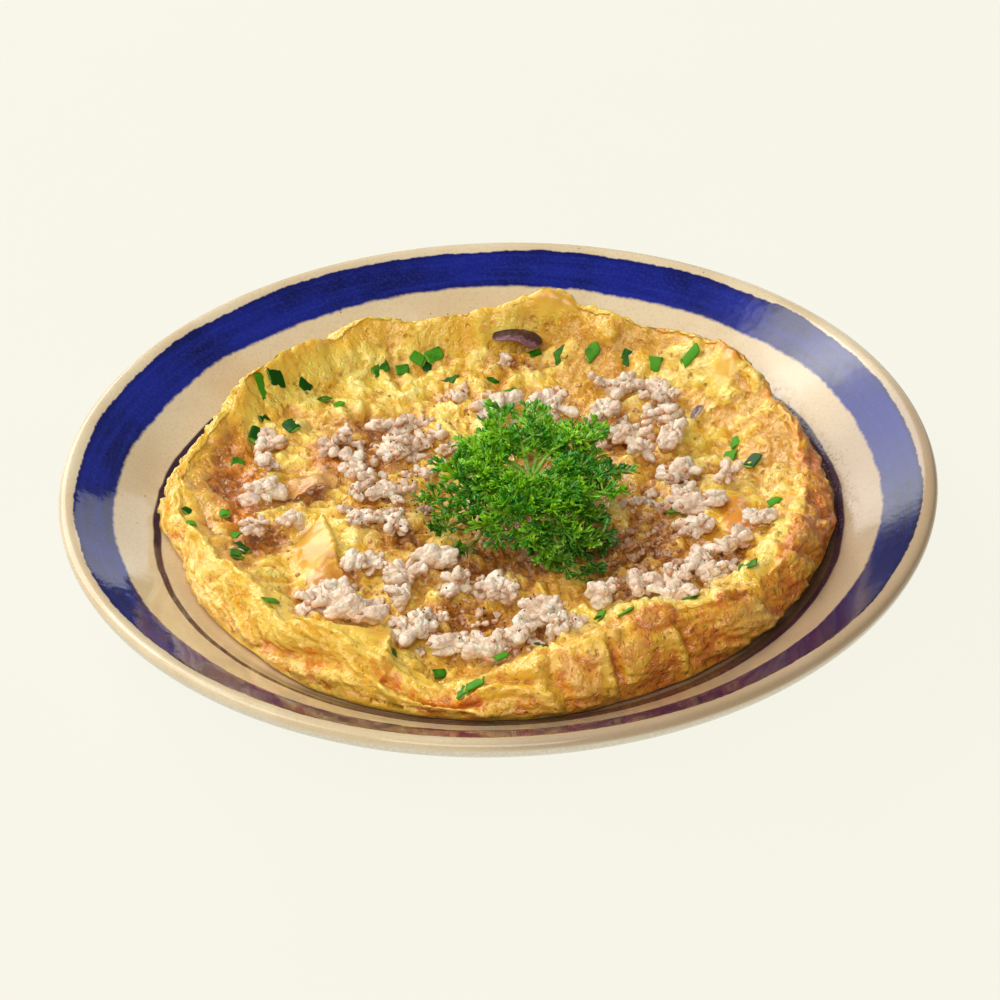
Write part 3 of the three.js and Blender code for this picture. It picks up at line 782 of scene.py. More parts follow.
def egg_rings():
    """Rings of the broad form, from just off the axis over the crest, down the side and below.

    Returns the points, how far out each ring of the upper face is (1 at the crest), and how far
    down the side each ring is (0 at the crest, 1 at its foot).
    """
    heading = np.arange(EGG_HEADINGS) * 360 / EGG_HEADINGS - 180
    ragged = stacked(30 * cos(heading), 30 * sin(heading), 0)
    lip = around(LIPS, heading, 1)
    crest = around(CREST, heading, 1) + (0.6 + 1.1 * lip) * layered(ragged, 4, 3, seed=81)
    share = (np.arange(1, EGG_TOP_RINGS + 1) / EGG_TOP_RINGS)[:, None] ** 0.85
    top_r = crest * share
    top_z = top_height(heading, top_r)
    wrinkle = 0.35 * WRINKLE_DEPTH * sin(SIDE_WRINKLES * heading) * cos(heading / 2 + 20)
    widest = around(SIDE, heading, 1) + wrinkle - 0.4
    low = plate_height(widest) + SIDE_LIFT
    down = np.arange(1, EGG_SIDE_RINGS + 1)[:, None] / EGG_SIDE_RINGS
    turn = 90 * (1 - down)
    side_r = crest + (widest - crest) * lerp(cos(turn), down, 0.6 * lip)
    side_z = low + (top_z[-1] - low) * lerp(sin(turn), 1 - down, 0.6 * lip)
    tuck = np.arange(1, 6)[:, None] / 5
    tuck_r = widest - TUCK * (1 - cos(90 * tuck))
    tuck_z = lerp(low, plate_height(widest - TUCK) + GAP, sin(90 * tuck))
    under_r = np.array([88, 70, 40, 5])[:, None] + 0 * heading
    under_z = plate_height(under_r) + GAP
    r = np.concatenate([top_r, side_r, tuck_r, under_r])
    z = np.concatenate([top_z, side_z, tuck_z, under_z])
    out = np.concatenate([share[:, 0], np.ones(len(r) - EGG_TOP_RINGS)])
    depth = np.concatenate([np.zeros(EGG_TOP_RINGS), 0.9 * down[:, 0], np.full(5, 1), np.full(4, 2)])
    return stacked(r * cos(heading), r * sin(heading), z), heading, out, depth


def make_omelette():
    """The broad form with its relief along the outward direction, and the values of its finish."""
    rings, heading, out, depth = egg_rings()
    normal = grid_normals(rings)
    out = out[:, None] + 0 * heading
    depth = depth[:, None] + 0 * heading
    x, y = rings[..., 0], rings[..., 1]
    lip = around(LIPS, heading, 1)
    rim_skin = lerp(0.35, 0.55, lip) * smooth((out - lerp(0.94, 0.86, lip)) / 0.1)
    skin = np.maximum(patches(SMOOTH_SKINS, x, y) * (depth < 0.02), rim_skin)
    on_top = 1 - smooth(depth / 0.12)
    on_side = smooth(depth / 0.12) * (1 - smooth((depth - 0.92) / 0.08))
    edge = np.exp(-(((out - 1) / 0.04) ** 2)) * (1 - smooth(depth / 0.4))
    curd = curd_relief(rings, skin)
    side = side_relief(rings, heading, depth)
    frill = (1.5 + lip) * layered(stacked(x, y, 0), 9, 4, seed=91) * edge
    knuckles = 1.6 * layered(rings, 17, 2, seed=95) * np.exp(-(((out - 1) / 0.1) ** 2)) * (1 - lip)
    relief = on_top * curd * smooth(out / 0.1) + on_side * side + knuckles * (depth < 1)
    points = rings + normal * relief[..., None]
    points[..., 2] += frill
    floor = plate_height(np.hypot(points[..., 0], points[..., 1])) + 0.15
    points[..., 2] = np.maximum(points[..., 2], floor)
    flat, quads, triangles = closed_rings(points)
    mesh = make_mesh("omelette", flat, quads, triangles)
    give_ring_values(
        mesh,
        fried=around(BROWNED, heading, 1) * smooth(depth / 0.2 + smooth((out - 0.95) / 0.05) * 0.7),
        hollow=np.clip(0.5 - 0.2 * curd, 0, 1) * on_top + 0.5 * (1 - on_top),
        crease=np.clip(0.5 - 0.15 * side, 0, 1) * on_side + 0.5 * (1 - on_side),
        skin=skin,
        yolk=patches(YOLKS, x, y) * (depth < 0.02),
        gravy=patches(GRAVY, x, y) * (depth < 0.02),
        side=on_side,
        low=depth * (1 - smooth(depth - 1)),
        # lip: where the painted highlight along the crest's thin lip goes.
        lip=edge * lip,
    )
    return make_piece("fried_egg", mesh, egg_material(), "egg", ["omelette"])


def egg_material():
    """Yellow curd with painted highlights on its tops and painted shade in its hollows, brown gravy,
    and a browned, fried side.
    """
    egg = Finish(
        "fried_egg", IOR=1.42, Subsurface_Radius=(1, 0.6, 0.15), Subsurface_Scale=0.0018,
        Subsurface_Weight=0.4, Coat_Weight=0.7, Coat_Roughness=0.1,
    )
    clouds = egg.noise(11, 4)
    islands = egg.noise(17, 3)
    fine = egg.noise(2.6, 3, twist=0.4)
    tiny = egg.noise(0.9, 2)
    uneven = egg.shaken(2.4, 2.2)
    froth = egg.cells(1.5, place=uneven)
    pores = egg.cells(3.4, place=uneven)
    skin = egg.value_of("skin")
    side = egg.value_of("side")
    curd = egg.span(skin, 0.6, 0.1)
    hollow = egg.sum(egg.value_of("hollow"), egg.span(fine, 0.3, 0.7, 0.1, -0.1))
    yellow = egg.mix(egg.span(clouds, 0.36, 0.64), colour(242, 190, 56), colour(252, 222, 98))
    # Painted shade in the hollows of the curd.
    dip = egg.times(curd, egg.span(hollow, 0.52, 0.8, 0, 0.75))
    yellow = egg.mix(dip, yellow, colour(214, 148, 44))
    # Painted highlight on the raised tops of the curd.
    raised = egg.times(curd, egg.span(hollow, 0.48, 0.22, 0, 0.8))
    yellow = egg.mix(raised, yellow, colour(255, 232, 136))
    flecks = egg.times(curd, egg.span(fine, 0.54, 0.68, 0, 0.45))
    yellow = egg.mix(flecks, yellow, colour(254, 230, 136))
    porous = egg.times(egg.span(islands, 0.55, 0.64), egg.span(fine, 0.6, 0.4, 0.1, 0.4))
    yellow = egg.mix(egg.times(curd, porous), yellow, colour(204, 156, 84))
    # Painted shade: dark flecks in the small pits of the curd.
    pits = egg.times(egg.span(tiny, 0.5, 0.38, 0, 0.3), egg.span(hollow, 0.46, 0.7))
    yellow = egg.mix(egg.times(curd, pits), yellow, colour(196, 122, 44))
    # Painted shade: dark dots standing for holes in the curd.
    holes = egg.times(egg.span(pores, 0.26, 0.12, 0, 0.6), egg.span(islands, 0.46, 0.58))
    yellow = egg.mix(egg.times(holes, curd), yellow, colour(166, 100, 30))
    smooth_tone = egg.mix(egg.span(clouds, 0.38, 0.62), colour(218, 156, 42), colour(231, 180, 64))
    yellow = egg.mix(egg.span(skin, 0.4, 0.9, 0, 0.75), yellow, smooth_tone)
    yolk = egg.sum(egg.value_of("yolk"), egg.span(clouds, 0.3, 0.7, -0.2, 0.2))
    yellow = egg.mix(egg.span(yolk, 0.25, 0.7, 0, 0.75), yellow, colour(222, 134, 20))
    # Brown gravy, with painted shade on the inner face of the left rim.
    gravy = egg.sum(egg.value_of("gravy"), egg.span(fine, 0.3, 0.7, -0.35, 0.35))
    stain = egg.times(egg.span(gravy, 0.25, 0.8), egg.span(hollow, 0.2, 0.7, 0.35, 1))
    yellow = egg.mix(egg.times(stain, 0.65), yellow, colour(200, 114, 34))
    # Darkest where the gravy lies in hollows: brown gravy with painted shade.
    deep = egg.times(egg.span(gravy, 0.45, 1.1), egg.span(hollow, 0.4, 0.8))
    yellow = egg.mix(egg.times(deep, 0.85), yellow, colour(128, 66, 18))
    foam = egg.times(egg.span(froth, 0.5, 0.2, 0, 0.6), egg.span(islands, 0.44, 0.56))
    yellow = egg.mix(egg.times(stain, foam), yellow, colour(214, 172, 116))
    fried = egg.value_of("fried")
    crease = egg.value_of("crease")
    patchy = egg.sum(fried, egg.span(clouds, 0.36, 0.64, -0.4, 0.4))
    patchy = egg.sum(patchy, egg.span(fine, 0.3, 0.7, -0.2, 0.2))
    # Painted shade: browner in the creases of the side.
    patchy = egg.sum(patchy, egg.span(crease, 0.3, 0.9, -0.15, 0.2))
    golden = egg.mix(egg.span(patchy, 0.3, 0.7), yellow, colour(236, 158, 44))
    golden = egg.mix(egg.span(patchy, 0.66, 1.05), golden, colour(208, 118, 36))
    bubbly = egg.times(side, egg.span(froth, 0.34, 0.14, 0, 0.3))
    golden = egg.mix(egg.times(bubbly, egg.span(islands, 0.44, 0.6)), golden, colour(178, 104, 34))
    pricks = egg.times(egg.span(pores, 0.22, 0.1, 0, 0.55), egg.span(fried, 0.2, 0.6, 0.2, 1))
    golden = egg.mix(egg.times(side, pricks), golden, colour(150, 76, 20))
    # Painted shade: darker and browner towards the foot of the side, next to the plate.
    foot = egg.times(side, egg.span(egg.value_of("low"), 0.6, 1, 0, 0.5))
    golden = egg.mix(foot, golden, colour(176, 96, 28))
    # Painted shade in the creases of the fried side.
    seam = egg.times(side, egg.span(crease, 0.6, 0.95, 0, 0.6))
    seam = egg.times(seam, egg.span(fried, 0.15, 0.6, 0.3, 1))
    golden = egg.mix(seam, golden, colour(190, 104, 22))
    # Painted highlight on the bulges of the fried side, between its creases.
    light = egg.times(egg.span(crease, 0.55, 0.2), egg.span(clouds, 0.4, 0.6, 0.1, 0.7))
    golden = egg.mix(egg.times(side, light), golden, colour(254, 218, 112))
    # Painted highlight along the thin lip of the crest.
    golden = egg.mix(egg.times(egg.value_of("lip"), 0.55), golden, colour(255, 208, 74))
    grain = egg.bump(fine, 0.7)
    grain = egg.bump(tiny, 0.14, grain)
    grain = egg.bump(egg.span(froth, 0.05, 0.5), 0.2, grain)
    grain = egg.bump(egg.span(pores, 0.05, 0.35), 0.5, grain)
    rough = egg.bump(egg.span(froth, 0.05, 0.5), 0.25)
    rough = egg.bump(egg.span(pores, 0.05, 0.25), 0.3, rough)
    rough = egg.bump(fine, 0.6, rough)
    rough = egg.bump(tiny, 0.14, rough)
    calm = egg.bump(egg.noise(9, 1), 0.2)
    relief = egg.blend(egg.blend(grain, calm, egg.span(skin, 0.35, 0.8)), rough, side)
    return egg.set(
        Base_Color=golden,
        Roughness=egg.span(clouds, 0.3, 0.7, 0.34, 0.46),
        Normal=relief,
        Coat_Normal=relief,
    )


# ---- Minced pork ----

CLUMP_ROUND = 88
CLUMP_DOWN = 54
CLUMP_BALLS = 15
PORK_COUNT = 53


def long_way(node):
    """The middle of a solid, and its box's half sizes along and across its own heading."""
    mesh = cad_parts[node].data
    co = np.empty(len(mesh.vertices) * 3)
    mesh.vertices.foreach_get("co", co)
    co = co.reshape(-1, 3) / MM
    low, high = co.min(0), co.max(0)
    middle = (low + high) / 2
    flat = co[:, :2] - co[:, :2].mean(0)
    _, ways = np.linalg.eigh(flat.T @ flat)
    along = ways[:, 1]
    across = np.array([-along[1], along[0]])
    from_middle = co[:, :2] - middle[:2]
    ends = [(from_middle @ way).min() for way in (along, across)]
    tips = [(from_middle @ way).max() for way in (along, across)]
    shift = [(tip + end) / 2 for tip, end in zip(tips, ends)]
    middle[:2] += along * shift[0] + across * shift[1]
    half = [(tips[0] - ends[0]) / 2, (tips[1] - ends[1]) / 2, (high[2] - low[2]) / 2]
    return middle, np.array(half), along, across


def beaded(way, places, sizes):
    """Balls strung together, seen from their middle: how far the farthest ball reaches in each
    direction, softened by the sixth power mean."""
    forward = np.einsum("rcj,...kj->...krc", way, places)
    inside = forward**2 + (sizes**2 - (places**2).sum(-1))[..., None, None]
    hit = np.where(inside > 0, forward + np.sqrt(np.maximum(inside, 0)), 0)
    return (np.maximum(hit, 0.05) ** 6).sum(-3) ** (1 / 6)


def knobbly(points, depth):
    """Relief of boiled mince: knobs 2 mm apart with grains 1 mm apart on them."""
    bent = points + 0.8 * stacked(*(hills(points, 2.6, seed) for seed in (14, 15, 16)))
    near, _ = pebbled(bent, 2.1, seed=7)
    small, _ = pebbled(bent, 1.1, seed=9)
    return depth * (1.3 * (0.45 - near**2) + 0.5 * (0.5 - small**2))


def clump(node, order):
    """Balls strung through the solid, with knobs and lumps on them."""
    middle, half, along, across = long_way(node)
    rng = np.random.default_rng(100 + order)
    u, v = np.meshgrid(
        np.arange(CLUMP_ROUND) * 360 / CLUMP_ROUND,
        (np.arange(CLUMP_DOWN) + 0.5) * 180 / CLUMP_DOWN,
    )
    way = stacked(sin(v) * cos(u), sin(v) * sin(u), cos(v))
    places = rng.uniform(-1, 1, (CLUMP_BALLS, 3)) * np.array([0.76, 0.66, 0.42])
    places[0] = 0
    sizes = rng.uniform(0.2, 0.38, CLUMP_BALLS)
    sizes[0] = 0.46
    form = way * beaded(way, places, sizes)[..., None]
    form /= abs(form).max(axis=(0, 1))
    size_mm = form * half
    moved = size_mm + 60 * order
    knobs = knobbly(moved, 1)
    lumps = 1.6 * layered(moved, 5, 2, seed=13)
    size_mm = size_mm * 1.03 + way * (knobs + lumps)[..., None]
    flat = size_mm[..., :1] * along + size_mm[..., 1:2] * across
    points = np.concatenate([flat, size_mm[..., 2:]], axis=-1) + middle
    egg = top_at(points[..., 0], points[..., 1])
    deep = points[..., 2] - egg
    points[..., 2] = np.maximum(points[..., 2], egg - 0.5)
    low = 1 - smooth((deep - 0.2) / 2.6)
    return points, np.clip(0.5 - 0.75 * knobs - 0.2 * lumps, 0, 1), low


def make_pork(meat):
    """The clumps, one for each of the frame's nodes."""
    made = []
    for k in range(PORK_COUNT):
        node = f"pork_{k + 1:02d}"
        points, pocket, low = clump(node, k + 1)
        flat, quads, triangles = closed_rings(points)
        mesh = make_mesh(f"minced_{node}", flat, quads, triangles)
        give_ring_values(mesh, pocket=pocket, wet=low, tan=0 * low)
        made.append(make_piece(f"minced_{node}", mesh, meat, "pork", [node]))
    return made


def pork_material():
    """Pale pink meat with painted shade in its hollows, darker and browner low down, and browner where
    it is tan.
    """
    meat = Finish(
        "minced_pork", IOR=1.42, Subsurface_Radius=(1, 0.42, 0.22), Subsurface_Scale=0.0011,
        Subsurface_Weight=0.45, Coat_Weight=0.35, Coat_Roughness=0.2,
    )
    clouds = meat.noise(7, 4)
    fine = meat.noise(1.3, 3)
    pink = meat.mix(meat.span(clouds, 0.38, 0.62), colour(230, 202, 174), colour(246, 230, 208))
    pink = meat.mix(meat.span(fine, 0.5, 0.7, 0, 0.4), pink, colour(254, 242, 222))
    pink = meat.mix(meat.span(meat.noise(5.5, 2), 0.54, 0.7, 0, 0.4), pink, colour(224, 176, 140))
    pocket = meat.value_of("pocket")
    # Painted shade in the crevices between the knobs; on loose grains a darker tone at random.
    pink = meat.mix(meat.span(pocket, 0.5, 0.95, 0, 0.75), pink, colour(206, 130, 70))
    # Darker and browner towards the bottom of each piece, where it meets what it lies on.
    wet = meat.sum(meat.value_of("wet"), meat.span(clouds, 0.3, 0.7, -0.25, 0.25))
    pink = meat.mix(meat.span(wet, 0.4, 1, 0, 0.75), pink, colour(204, 130, 60))
    pink = meat.mix(meat.span(meat.value_of("tan"), 0, 1, 0, 0.85), pink, colour(172, 110, 48))
    red = meat.times(meat.span(meat.noise(2.2, 2), 0.72, 0.78), 0.5)
    pink = meat.mix(red, pink, colour(160, 66, 40))
    knobs = meat.cells(1, place=meat.shaken(1.4, 1))
    relief = meat.bump(meat.span(knobs, 0, 0.8, 1, 0), 0.22)
    relief = meat.bump(fine, 0.2, relief)
    return meat.set(
        Base_Color=pink,
        Roughness=meat.span(fine, 0.3, 0.7, 0.34, 0.54),
        Normal=relief,
        Coat_Normal=relief,
    )


# ---- Crumbs of pork and ground pepper ----

# Where fine mince lies: x, y, heading, length, width, how many heaps, and how tan it is.
DRIFTS = [
    (-70, 20, 90, 42, 12, 9, 0.05),
    (-68, -10, 0, 20, 12, 6, 0.05),
    (-36, 12, 90, 58, 34, 36, 0.3),
    (-27, 41, 90, 24, 20, 13, 0.05),
    (-52, -48, 90, 26, 14, 9, 0.05),
    (-34, -41, 0, 24, 18, 13, 0.05),
    (-23, -63, 90, 24, 16, 9, 0.1),
    (-6, -46, 0, 26, 22, 16, 0.25),
    (6, -68, 0, 34, 26, 22, 0.05),
    (41, -30, 90, 50, 26, 34, 0.75),
    (47, 2, 90, 38, 22, 20, 0.45),
    (61, -34, 70, 46, 28, 16, 0.1),
    (43, 46, 90, 46, 30, 22, 0.1),
    (9, 51, 0, 30, 20, 9, 0.1),
    (-16, 60, 0, 18, 16, 4, 0.05),
    (-12, 25, 0, 22, 20, 10, 0.35),
    (4.5, 78.5, 0, 3, 2, 2, 0),
    (-44, 30, 90, 20, 12, 6, 0.1),
]
HEAP_ROUND = 24
HEAP_DOWN = 14
GRAIN_ROUND = 8
GRAIN_DOWN = 5
HEAP_BALLS = 8
# Heaps for each one that the drifts count, grains between them, and grains all over the egg.
HEAP_SHARE = 0.84
GRAINS = 520
STRAY_GRAINS = 90
WHOLE_EGG = (0, 0, 0, 165, 160)
PEPPER_COUNT = 900
# Where pepper was ground: x, y, heading, length, width, share of the specks.
PEPPERED = [
    (-30, 8, 80, 56, 34, 0.34),
    (-8, -50, 10, 44, 28, 0.2),
    (42, -26, 80, 54, 28, 0.22),
    (0, -66, 0, 44, 22, 0.08),
    (20, 10, 0, 120, 110, 0.16),
]


def strewn(rng, rows, counts):
    """Random places in ellipses (x, y, heading, length, width), thickest in their middles."""
    which = np.repeat(np.arange(len(rows)), counts)
    x, y, heading, length, width = np.array([row[:5] for row in rows], float)[which].T
    turn = rng.uniform(0, 360, len(which))
    out = rng.uniform(0, 1, len(which)) ** 0.6
    along = out * cos(turn) * length / 2
    across = out * sin(turn) * width / 2
    x = x + along * cos(heading) - across * sin(heading)
    y = y + along * sin(heading) + across * cos(heading)
    return x, y, which


def ball_ways(corners, rows):
    """Directions in rings from below to above, as strung takes them."""
    u, v = np.meshgrid(np.arange(corners) * 360 / corners, (np.arange(rows) + 0.6) * 180 / (rows + 0.2))
    return stacked(sin(v) * cos(u), sin(v) * sin(u), -cos(v))


def turned(rng, forms, middles):
    """Shapes each turned to a random heading and moved to its place."""
    turn = rng.uniform(0, 360, len(forms))[:, None, None]
    c, s = cos(turn), sin(turn)
    x, y, z = np.moveaxis(forms, -1, 0)
    return stacked(x * c - y * s, x * s + y * c, z) + middles[:, None, None]


def resting(tree, x, y, most=5):
    """The height on which bits lie: what they land on, but no more than some above the egg."""
    egg = top_at(x, y)
    return np.minimum(landed(tree, x, y, egg), egg + most)


def pork_heaps(rng, tree):
    """Balls strung together, with knobs on them: their points, hollows, tan and ground."""
    counts = np.array([row[5] for row in DRIFTS])
    tans = np.array([row[6] for row in DRIFTS])
    x, y, which = strewn(rng, DRIFTS, np.round(HEAP_SHARE * counts).astype(int))
    tan = np.clip(tans[which] + rng.normal(0, 0.15, len(x)), 0, 1)
    sizes = rng.uniform(3.4, 6.6, len(x)) * (1 - 0.4 * tans[which])
    ground = resting(tree, x, y)
    way = ball_ways(HEAP_ROUND, HEAP_DOWN)
    places = rng.uniform(-1, 1, (len(x), HEAP_BALLS, 3)) * np.array([0.75, 0.6, 0.4])
    radii = rng.uniform(0.24, 0.44, (len(x), HEAP_BALLS))
    forms = way * beaded(way, places, radii)[..., None] * sizes[:, None, None, None] * 0.55
    relief = knobbly(forms + 30 * np.arange(len(x))[:, None, None, None], 0.75)
    forms = turned(rng, forms + way * relief[..., None], stacked(x, y, ground + 0.12 * sizes))
    return forms, np.clip(0.5 - relief, 0, 1), tan, ground


def pork_grains(rng, tree):
    """Balls swollen by hills and stretched: their points, hollows, tan and ground."""
    counts = np.array([row[5] for row in DRIFTS])
    tans = np.array([row[6] for row in DRIFTS])
    x, y, near = strewn(rng, DRIFTS, np.round(GRAINS * counts / counts.sum()).astype(int))
    stray_x, stray_y, _ = strewn(rng, [WHOLE_EGG], [STRAY_GRAINS])
    x, y = np.concatenate([x, stray_x]), np.concatenate([y, stray_y])
    tan = np.concatenate([tans[near], np.full(STRAY_GRAINS, 0.3)]) + rng.uniform(0, 0.4, len(x))
    sizes = rng.uniform(0, 1, len(x)) ** 1.5 * 1.1 + 0.8
    ground = resting(tree, x, y)
    way = ball_ways(GRAIN_ROUND, GRAIN_DOWN)
    swell = 1 + 0.4 * hills(way * 0.9 + rng.uniform(0, 90, (len(x), 1, 1, 3)), 0.7, 3)
    stretch = rng.uniform([0.8, 0.7, 0.5], [1.6, 1.2, 0.9], (len(x), 3)) * sizes[:, None] / 2
    forms = way * swell[..., None] * stretch[:, None, None]
    forms = turned(rng, forms, stacked(x, y, ground + 0.15 * sizes))
    # On the loose grains the crevice shade is a darker tone drawn at random.
    pocket = np.broadcast_to(rng.uniform(0.2, 0.7, len(x))[:, None, None], forms.shape[:3])
    return forms, pocket, np.clip(tan, 0, 1), ground


def make_crumbs(tree, meat):
    """Small knobbly heaps in the drifts, and grains strewn about them."""
    rng = np.random.default_rng(11)
    kinds = [pork_heaps(rng, tree), pork_grains(rng, tree)]
    points, quads = joined([strung(forms) for forms, *_ in kinds])
    mesh = make_mesh("pork_crumbs", points, quads)
    each = [forms.shape[1] * forms.shape[2] for forms, *_ in kinds]
    pocket = np.concatenate([kind[1].ravel() for kind in kinds])
    tan = np.concatenate([kind[2].repeat(count) for kind, count in zip(kinds, each)])
    ground = np.concatenate([kind[3].repeat(count) for kind, count in zip(kinds, each)])
    give_values(mesh, pocket=pocket, wet=1 - smooth((points[:, 2] - ground) / 2), tan=tan)
    make_piece("pork_crumbs", mesh, meat, "pork")


def pepper_material():
    pepper = Finish("ground_pepper", Roughness=0.6)
    tone = pepper.span(pepper.value_of("husk"), 0.3, 0.9)
    return pepper.set(Base_Color=pepper.mix(tone, colour(34, 24, 18), colour(112, 74, 44)))


def make_pepper(tree):
    """Chips with six faces: a square of uneven corners that is carried a short way up."""
    rng = np.random.default_rng(23)
    counts = [round(PEPPER_COUNT * row[5]) for row in PEPPERED]
    x, y, _ = strewn(rng, PEPPERED, counts)
    ground = landed(tree, x, y, top_at(x, y))
    size = rng.uniform(0, 1, len(x)) ** 2.5 * 0.45 + 0.24
    corner = np.arange(4) * 90 + 45
    square = stacked(cos(corner), sin(corner), 0)
    chips = square + np.array([0, 0, 1.1]) * np.array([-0.5, 0.5])[:, None, None]
    chips = chips + rng.uniform(-0.35, 0.35, (len(x), 2, 4, 3))
    tilt = unit(rng.normal(0, 1, (len(x), 3, 3)))
    chips = np.einsum("nstk,nkj->nstj", chips, np.eye(3) + 0.25 * (tilt - np.swapaxes(tilt, 1, 2)))
    chips = chips * (size / 2)[:, None, None, None] + stacked(x, y, ground + 0.12)[:, None, None]
    points, quads = strung(chips)
    mesh = make_mesh("ground_pepper", points, quads, even=False)
    give_values(mesh, husk=rng.uniform(0, 1, len(x)).repeat(8))
    make_piece("ground_pepper", mesh, pepper_material(), "pork")


# ---- Spring onion ----

# Cut rings of spring onion: x and y. The first rows are those of the solids, in their order.
ONION = [
    (-72, 57), (-59, 64), (-71, 49), (-74, 40), (-72, 30), (-79, 27), (-53, 59), (-49, 55),
    (-36, 76), (-29, 76), (-24, 80), (-19, 81), (-14, 70), (-1, 71), (5, 65), (13, 82), (21, 80),
    (31, 78), (42, 74), (50, 70), (61, 64), (73, 30), (77, 16), (82, -5), (54, -59), (71, -47),
    (-92, 1), (-91, -10), (-82, 0), (-79, -9), (-76, -18), (-34, -66), (-30, -76), (-18, -79),
    (-1, -81), (-12, -91), (28, -60), (-68, 61), (-63, 42), (-22, 79), (71, 25), (52, -6),
    (-66, -53), (11, -79), (-8, -90), (27, -77), (35, -66), (-77, -24),
]
ONION_RADIUS = 1.7
ONION_LENGTH = 4.6
ONION_WALL = 0.42
ONION_ROUND = 18
ONION_RIM = 8


def draw(seed):
    """A number from 0 to 1 that depends only on a seed, as the solids draw theirs."""
    s = np.sin(seed * 127.1 + 11.7) * 43758.5453
    return s - np.floor(s)


def onion_material():
    """Fresh green, paler where the leaf is."""
    leaf = Finish(
        "spring_onion", IOR=1.4, Subsurface_Radius=(0.4, 1, 0.2), Subsurface_Scale=0.0008,
        Subsurface_Weight=0.2, Specular_IOR_Level=0.3,
    )
    pale = leaf.value_of("pale")
    tone = leaf.span(leaf.sum(leaf.value_of("tone"), leaf.noise(2.5, 3)), 0.7, 1.3)
    green = leaf.mix(tone, colour(14, 76, 3), colour(74, 150, 14))
    green = leaf.mix(leaf.span(pale, 0.35, 1), green, colour(156, 196, 76))
    relief = leaf.bump(leaf.noise(0.7, 3), 0.15)
    return leaf.set(Base_Color=green, Roughness=leaf.span(tone, 0, 1, 0.4, 0.55), Normal=relief)


def make_onion(tree):
    """Short tubes pressed flat: round the tube goes an ellipse, round its wall a rounded oblong."""
    x, y = np.array(ONION, float).T
    order = np.arange(len(x))
    rng = np.random.default_rng(31)
    heading = 180 * draw(order + 0.5)
    heading = 180 + np.where(y > 60, 0.35 * heading - 30, heading)
    length = ONION_LENGTH * rng.uniform(0.75, 1.15, len(x))
    radius = ONION_RADIUS * rng.uniform(0.8, 1.1, len(x))
    flat = rng.uniform(0.1, 0.42, len(x))
    round_tube = np.arange(ONION_ROUND) * 360 / ONION_ROUND
    round_wall = np.arange(ONION_RIM) * 360 / ONION_RIM
    a, b = np.meshgrid(round_tube, round_wall)
    oblong = (abs(cos(b)) ** 4 + abs(sin(b)) ** 4) ** (-1 / 4)
    wall_out = ONION_WALL / 2 * sin(b) * oblong
    end_out = cos(b) * oblong
    ground = resting(tree, x, y, most=2)
    shape = [v[:, None, None] for v in (x, y, ground, heading, length, radius, flat)]
    ox, oy, oz, turn, long, reach, squash = shape
    r = reach + wall_out
    wobble = 1 + 0.12 * sin(2 * a + 360 * draw(order + 3.3)[:, None, None])
    along = long / 2 * end_out + 0.25 * reach * sin(a) * sin(turn)
    across = r * cos(a) * wobble
    high = r * sin(a) * squash * wobble + 0.1 * (along / 2) ** 2
    px = ox + along * cos(turn) - across * sin(turn)
    py = oy + along * sin(turn) + across * cos(turn)
    lift = oz - 0.05 + 0.45 * squash * reach
    slope_x = (top_at(ox + 1.5, oy) - top_at(ox - 1.5, oy)) / 3
    slope_y = (top_at(ox, oy + 1.5) - top_at(ox, oy - 1.5)) / 3
    pz = lift + high + slope_x * (px - ox) + slope_y * (py - oy)
    rings = stacked(px, py, pz)
    count = len(x)
    i, j = np.meshgrid(np.arange(ONION_RIM), np.arange(ONION_ROUND), indexing="ij")
    at = i * ONION_ROUND + j
    right = i * ONION_ROUND + (j + 1) % ONION_ROUND
    up = (i + 1) % ONION_RIM * ONION_ROUND + j
    both = (i + 1) % ONION_RIM * ONION_ROUND + (j + 1) % ONION_ROUND
    quads = np.stack([at, up, both, right], axis=-1).reshape(-1, 4)
    points, quads = many_copies(rings.reshape(count, -1, 3), quads)
    mesh = make_mesh("spring_onion", points, quads)
    inner = np.clip(-sin(b), 0, 1) + np.clip(abs(cos(b)) - 0.6, 0, 1)
    pale = np.broadcast_to(inner, (count, *b.shape))
    tone = np.broadcast_to(rng.uniform(0, 1, count)[:, None, None], pale.shape)
    give_values(mesh, pale=pale.ravel(), tone=tone.ravel())
    return make_piece("spring_onion", mesh, onion_material(), "parsley", ["omelette"])


# ---- Shallot and the fried flake ----

# Each is a strip along a bent line: three places on the line, then half its width and thickness.
SHALLOT_SLICE = ([(-0.4, 84.8, 27), (7.4, 85.2, 27.6), (15, 82.6, 25.4)], 4.2, 0.7)
SHALLOT_PIECE = ([(60, 40.6, 23.8), (62.3, 44, 24.6), (63.4, 47.4, 23.8)], 1.3, 0.7)
FRIED_FLAKE = ([(-62.4, 6.6, 23.2), (-56, 11.6, 24.6), (-48, 15.6, 23.6)], 4.8, 0.45)
STRIP_STEPS = 49
STRIP_ROUND = 28


